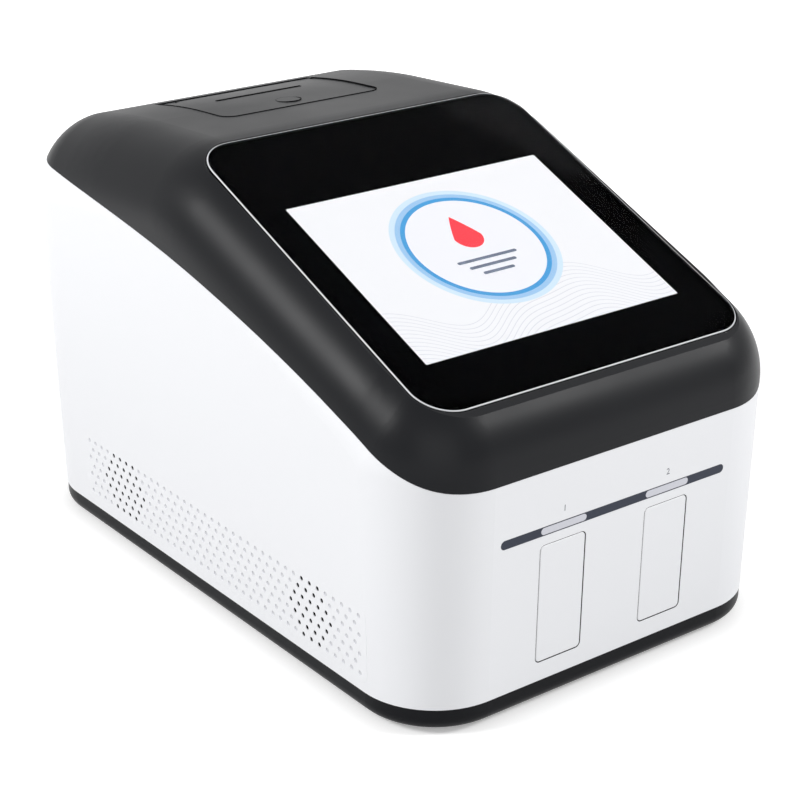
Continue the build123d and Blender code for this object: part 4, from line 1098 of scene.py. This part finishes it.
@dataclass(frozen=True)
class DoorSeam:
    """The dark rim in the narrow gap round one door, painted shade of the gap."""

    side: Side
    middle: Pair = (DOOR_MIDDLE, 42.55)
    opening: Pair = (29.36, 64.66)
    corner: float = 2.98
    lining: float = 0.28
    sunk: float = 0.15
    depth: float = 1.2

    def build(self) -> None:
        """Make the dark rim."""
        piece = Workpiece(f"{self.side.word}_door_seam", FRONT_FRAME)
        centre = (self.side.value * self.middle[0], self.middle[1], -self.sunk)
        piece.rim(piece.rounded_face(centre, self.opening, self.corner), self.lining)
        piece.thicken(-self.depth)
        # The rim's near-black stands for the shade in the door's gap.
        piece.finish("casing", SEAM_SHADE, "frame_plastic")


class RoofLine:
    """Height of the roof beside the printer lid, read from the cover."""

    beside = 60 * MM
    above = 0.3

    def __init__(self, cover: bpy.types.Object) -> None:
        """Keep the cover's faces.

        Args:
            cover: The cover's node.
        """
        mesh = cover.data
        self.tree = BVHTree.FromPolygons(
            [vert.co.copy() for vert in mesh.vertices],
            [tuple(face.vertices) for face in mesh.polygons],
        )

    def height(self, y: float) -> float:
        """Return the height of the roof at a Y place, both in metres."""
        start = Vector((self.beside, y, self.above))
        return self.tree.ray_cast(start, Vector((0, 0, -1)))[0].z


@dataclass(frozen=True)
class LidTrim:
    """Dark rims in the gaps round the printer lid, in its paper slot and round its button, painted
    shade of these gaps.
    """

    roof: RoofLine
    opening_half: float = 52.45
    opening_front: float = 71.55
    opening_back: float = 142.2
    opening_corner: float = 8.4
    seam_width: float = 0.38
    seam_proud: float = 0.35
    seam_depth: float = 0.95
    side_length: float = 5.0
    side_slant: float = 1.0
    side_cuts: int = 20
    slot_place: float = 119.13
    slot_size: Pair = (56.94, 2.54)
    slot_lining: float = 0.2
    slot_sunk: float = 0.12
    slot_depth: float = 2.0
    button_place: float = 89.29
    button_radius: float = 7.26
    button_lining: float = 0.22
    button_sunk: float = 0.2
    button_depth: float = 0.8

    def build(self) -> None:
        """Make the painted shade of the lid's seam, of its slot and of the gap round its button.
        """
        self.seam()
        self.slot()
        self.ring()

    def seam(self) -> None:
        """Make the dark rim in the gap at the front and both sides of the lid, painted shade of
        the gap.
        """
        piece = Workpiece("lid_seam", Matrix.Identity(4))
        length = 2 * (self.opening_back - self.opening_front)
        centre = (0, self.opening_front + length / 2, 0)
        face = piece.rounded_face(centre, (2 * self.opening_half, length), self.opening_corner)
        piece.rim(face, self.seam_width)
        bmesh.ops.bisect_plane(
            piece.bm, geom=[*piece.bm.verts, *piece.bm.edges, *piece.bm.faces],
            plane_co=Vector((0, self.opening_back * MM, 0)), plane_no=Vector((0, 1, 0)),
            clear_outer=True,
        )
        sides = [
            edge for edge in piece.bm.edges
            if edge.calc_length() > self.side_length * MM
            and abs(edge.verts[0].co.x - edge.verts[1].co.x) < self.side_slant * MM
        ]
        bmesh.ops.subdivide_edges(piece.bm, edges=sides, cuts=self.side_cuts, use_grid_fill=True)
        for vert in piece.bm.verts:
            vert.co.z = self.roof.height(vert.co.y) + self.seam_proud * MM
        piece.thicken(-self.seam_depth)
        piece.finish("casing", SEAM_SHADE, "frame_plastic")

    def seat(self, place: float, sunk: float) -> Matrix:
        """Return the frame of the lid's top, moved to a place on its middle line.

        Args:
            place: Y of the place in millimetres.
            sunk: Distance below the roof in millimetres.
        """
        frame = LID_FRAME.copy()
        frame.translation = Vector((0, place, self.roof.height(place * MM) / MM - sunk)) * MM
        return frame

    def slot(self) -> None:
        """Make the dark rim in the paper slot, painted shade of the slot."""
        piece = Workpiece("slot_lining", self.seat(self.slot_place, self.slot_sunk))
        piece.rim(piece.rounded_face((0, 0, 0), self.slot_size, 0.0), self.slot_lining)
        piece.thicken(-self.slot_depth)
        piece.finish("lid", SEAM_SHADE, "frame_plastic")

    def ring(self) -> None:
        """Make the dark ring in the gap round the release button, painted shade of the gap."""
        piece = Workpiece("button_gap_shade", self.seat(self.button_place, self.button_sunk))
        disc = piece.circle((0, 0, 0), self.button_radius, segments=72)
        piece.rim(disc[0].link_faces[0], self.button_lining)
        piece.thicken(-self.button_depth)
        piece.finish("lid", SEAM_SHADE, "frame_plastic")


@dataclass(frozen=True)
class PrintedNumber:
    """A plain printed number on a face, in millimetres."""

    text: str
    frame: Matrix
    centre: Pair
    height: float = 3.4
    type_share: float = 1.4
    film: float = 0.012
    body: str = "casing"

    def build(self) -> None:
        """Make the number as a thin mesh."""
        curve = bpy.data.curves.new(f"number_{self.text}", "FONT")
        curve.body = self.text
        curve.size = self.height * self.type_share * MM
        curve.align_x = "CENTER"
        curve.align_y = "CENTER"
        curve.extrude = self.film * MM
        curve.resolution_u = 6
        holder = stand("number_holder", curve)
        bpy.context.view_layer.update()
        shaped = holder.evaluated_get(bpy.context.evaluated_depsgraph_get())
        mesh = bpy.data.meshes.new_from_object(shaped)
        bpy.data.objects.remove(holder)
        mesh.name = f"channel_number_{self.text}"
        place = Matrix.Translation(Vector((*self.centre, self.film)) * MM)
        mesh.transform(self.frame @ place)
        mesh.materials.clear()
        mesh.materials.append(PRINT_GREY.make())
        piece = stand(mesh.name, mesh)
        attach(piece, self.body)


# Stage


@dataclass(frozen=True)
class SoftBox:
    """A soft area lamp aimed at a point, in metres, degrees and watts."""

    name: str
    place: Triple
    aim: Triple
    size: Pair
    power: float
    turn: float = 0.0

    def build(self) -> None:
        """Hang the lamp."""
        lamp = bpy.data.lights.new(self.name, "AREA")
        lamp.shape = "RECTANGLE"
        lamp.size, lamp.size_y = self.size
        lamp.energy = self.power
        holder = stand(self.name, lamp)
        holder.location = self.place
        facing = (Vector(self.aim) - Vector(self.place)).to_track_quat("-Z", "Y")
        turn = Quaternion((0, 0, 1), math.radians(self.turn))
        holder.rotation_euler = (facing @ turn).to_euler()


@dataclass(frozen=True)
class Studio:
    """Camera, floor, world and lamps, in metres."""

    camera_place: Triple = (-0.6238, -0.8321, 0.5275)
    camera_back: Triple = (-0.5586, -0.7332, 0.3879)
    camera_side: Triple = (0.7955, -0.6060, 0.0)
    lens: float = 91.62
    sensor: float = 36.0
    clip_start: float = 0.05
    world_level: float = 0.48
    floor_half: float = 6.0
    floor_low: float = 0.93
    floor_high: float = 0.96
    floor_scale: float = 4.0
    floor_rough: float = 0.9
    floor_bounce: float = 0.45
    floor_glow: float = 0.25
    glow_near: float = 0.35
    glow_far: float = 1.2
    glow_gain: float = 4.0
    lamps: tuple[SoftBox, ...] = (
        SoftBox("left_box", (-1.41, 0.52, 1.12), (-0.115, -0.085, 0.19), (0.6, 0.5), 18.5),
        SoftBox("front_box", (0.98, -1.04, 1.08), (-0.01, -0.178, 0.161), (0.5, 0.45), 14.0),
        SoftBox("fill_box", (-0.95, -1.45, 0.7), (-0.05, -0.15, 0.12), (1.4, 1.2), 7.5),
        SoftBox("glass_box", (1.38, 0.76, 1.5), (1.38, 0.76, 0), (0.6, 0.5), 1.5, turn=-41.5),
    )

    def build(self) -> None:
        """Set up the whole studio."""
        self.camera()
        self.world()
        self.floor()
        for lamp in self.lamps:
            lamp.build()
        bpy.context.scene.view_settings.view_transform = "Standard"

    def camera(self) -> None:
        """Place the camera as the photograph was taken."""
        lens = bpy.data.cameras.new("camera")
        lens.lens = self.lens
        lens.sensor_width = self.sensor
        lens.clip_start = self.clip_start
        camera = stand("camera", lens)
        back = Vector(self.camera_back).normalized()
        side = Vector(self.camera_side).normalized()
        place = Matrix((side, back.cross(side), back)).transposed().to_4x4()
        place.translation = Vector(self.camera_place)
        camera.matrix_world = place
        bpy.context.scene.camera = camera

    @staticmethod
    def seen_directly(sheet: NodeSheet) -> Socket:
        """Return a mask of what the camera sees, straight on, in gloss or through glass.

        Args:
            sheet: The sheet to add it to.

        Returns:
            The mask's socket.
        """
        path = sheet.add("ShaderNodeLightPath").outputs
        mask = path["Is Camera Ray"]
        for ray in ("Is Glossy Ray", "Is Transmission Ray"):
            mask = sheet.maths("MAXIMUM", mask, path[ray])
        return mask

    def world(self) -> None:
        """Light the scene evenly in front of a white background."""
        world = bpy.data.worlds.new("studio")
        world.use_nodes = True
        sheet = NodeSheet(world.node_tree)
        levels = {"Factor": self.seen_directly(sheet), "A": self.world_level, "B": 1.0}
        strength = sheet.add("ShaderNodeMix", levels, data_type="FLOAT")
        base = world.node_tree.nodes["Background"]
        sheet.wire(base, {"Color": grey(1), "Strength": strength.outputs["Result"]})
        bpy.context.scene.world = world

    def floor(self) -> None:
        """Lay the plain pale floor, whose glow rises with the distance to plain white."""
        sheet = ShaderSheet("studio_floor")
        noise = {"Vector": sheet.place(), "Scale": self.floor_scale}
        speck = sheet.add("ShaderNodeTexNoise", noise)
        tone = sheet.blend(speck.outputs["Fac"], grey(self.floor_low), grey(self.floor_high))
        length = sheet.add("ShaderNodeVectorMath", {0: sheet.place()}, operation="LENGTH")
        reach = sheet.add("ShaderNodeMapRange", {
            "Value": length.outputs["Value"], "From Min": self.glow_near,
            "From Max": self.glow_far,
        })
        glow = sheet.blend(reach.outputs["Result"], grey(1), grey(self.glow_gain))
        direct = self.seen_directly(sheet)
        sheet.dress({
            "Base Color": sheet.blend(direct, grey(self.floor_bounce), tone),
            "Emission Color": sheet.blend(direct, grey(0), glow),
            "Emission Strength": self.floor_glow,
            "Roughness": self.floor_rough,
            "Specular IOR Level": 0.0,
        })
        bm = bmesh.new()
        bmesh.ops.create_grid(bm, x_segments=1, y_segments=1, size=self.floor_half)
        mesh = bpy.data.meshes.new("floor")
        bm.to_mesh(mesh)
        bm.free()
        mesh.materials.append(sheet.material)
        floor = stand("floor", mesh)


class Analyzer:
    """The whole machine: the CAD nodes with their finishes and the pieces added to them."""

    def __init__(self, nodes: dict[str, bpy.types.Object]) -> None:
        """Keep the nodes.

        Args:
            nodes: The CAD nodes by name.
        """
        self.nodes = nodes

    def dress(self) -> None:
        """Give each CAD node its finish."""
        finishes = {name: finish for finish, names in FINISH_NODES for name in names}
        for name, node in self.nodes.items():
            material = finishes[name].make()
            if not node.material_slots:
                node.data.materials.append(material)
            for place in node.material_slots:
                place.material = material

    def build(self) -> None:
        """Make all added pieces."""
        ScreenStack().build()
        LidTrim(RoofLine(self.nodes["top_cover"])).build()
        for side in Side:
            wall = SideWall(side)
            for piece in (VentSkin(wall), DimpleFloors(wall), DustScreen(wall), DoorSeam(side)):
                piece.build()
        for number, side in enumerate(Side, start=1):
            place = (side.value * DOOR_MIDDLE, NUMBER_PLACE)
            PrintedNumber(str(number), FRONT_FRAME, place).build()


def main() -> None:
    """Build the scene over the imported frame."""
    logging.basicConfig(level=logging.INFO, format="%(name)s: %(message)s")
    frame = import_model()
    Studio().build()
    analyzer = Analyzer(frame["nodes"])
    analyzer.dress()
    analyzer.build()


if __name__ == "__main__":
    main()
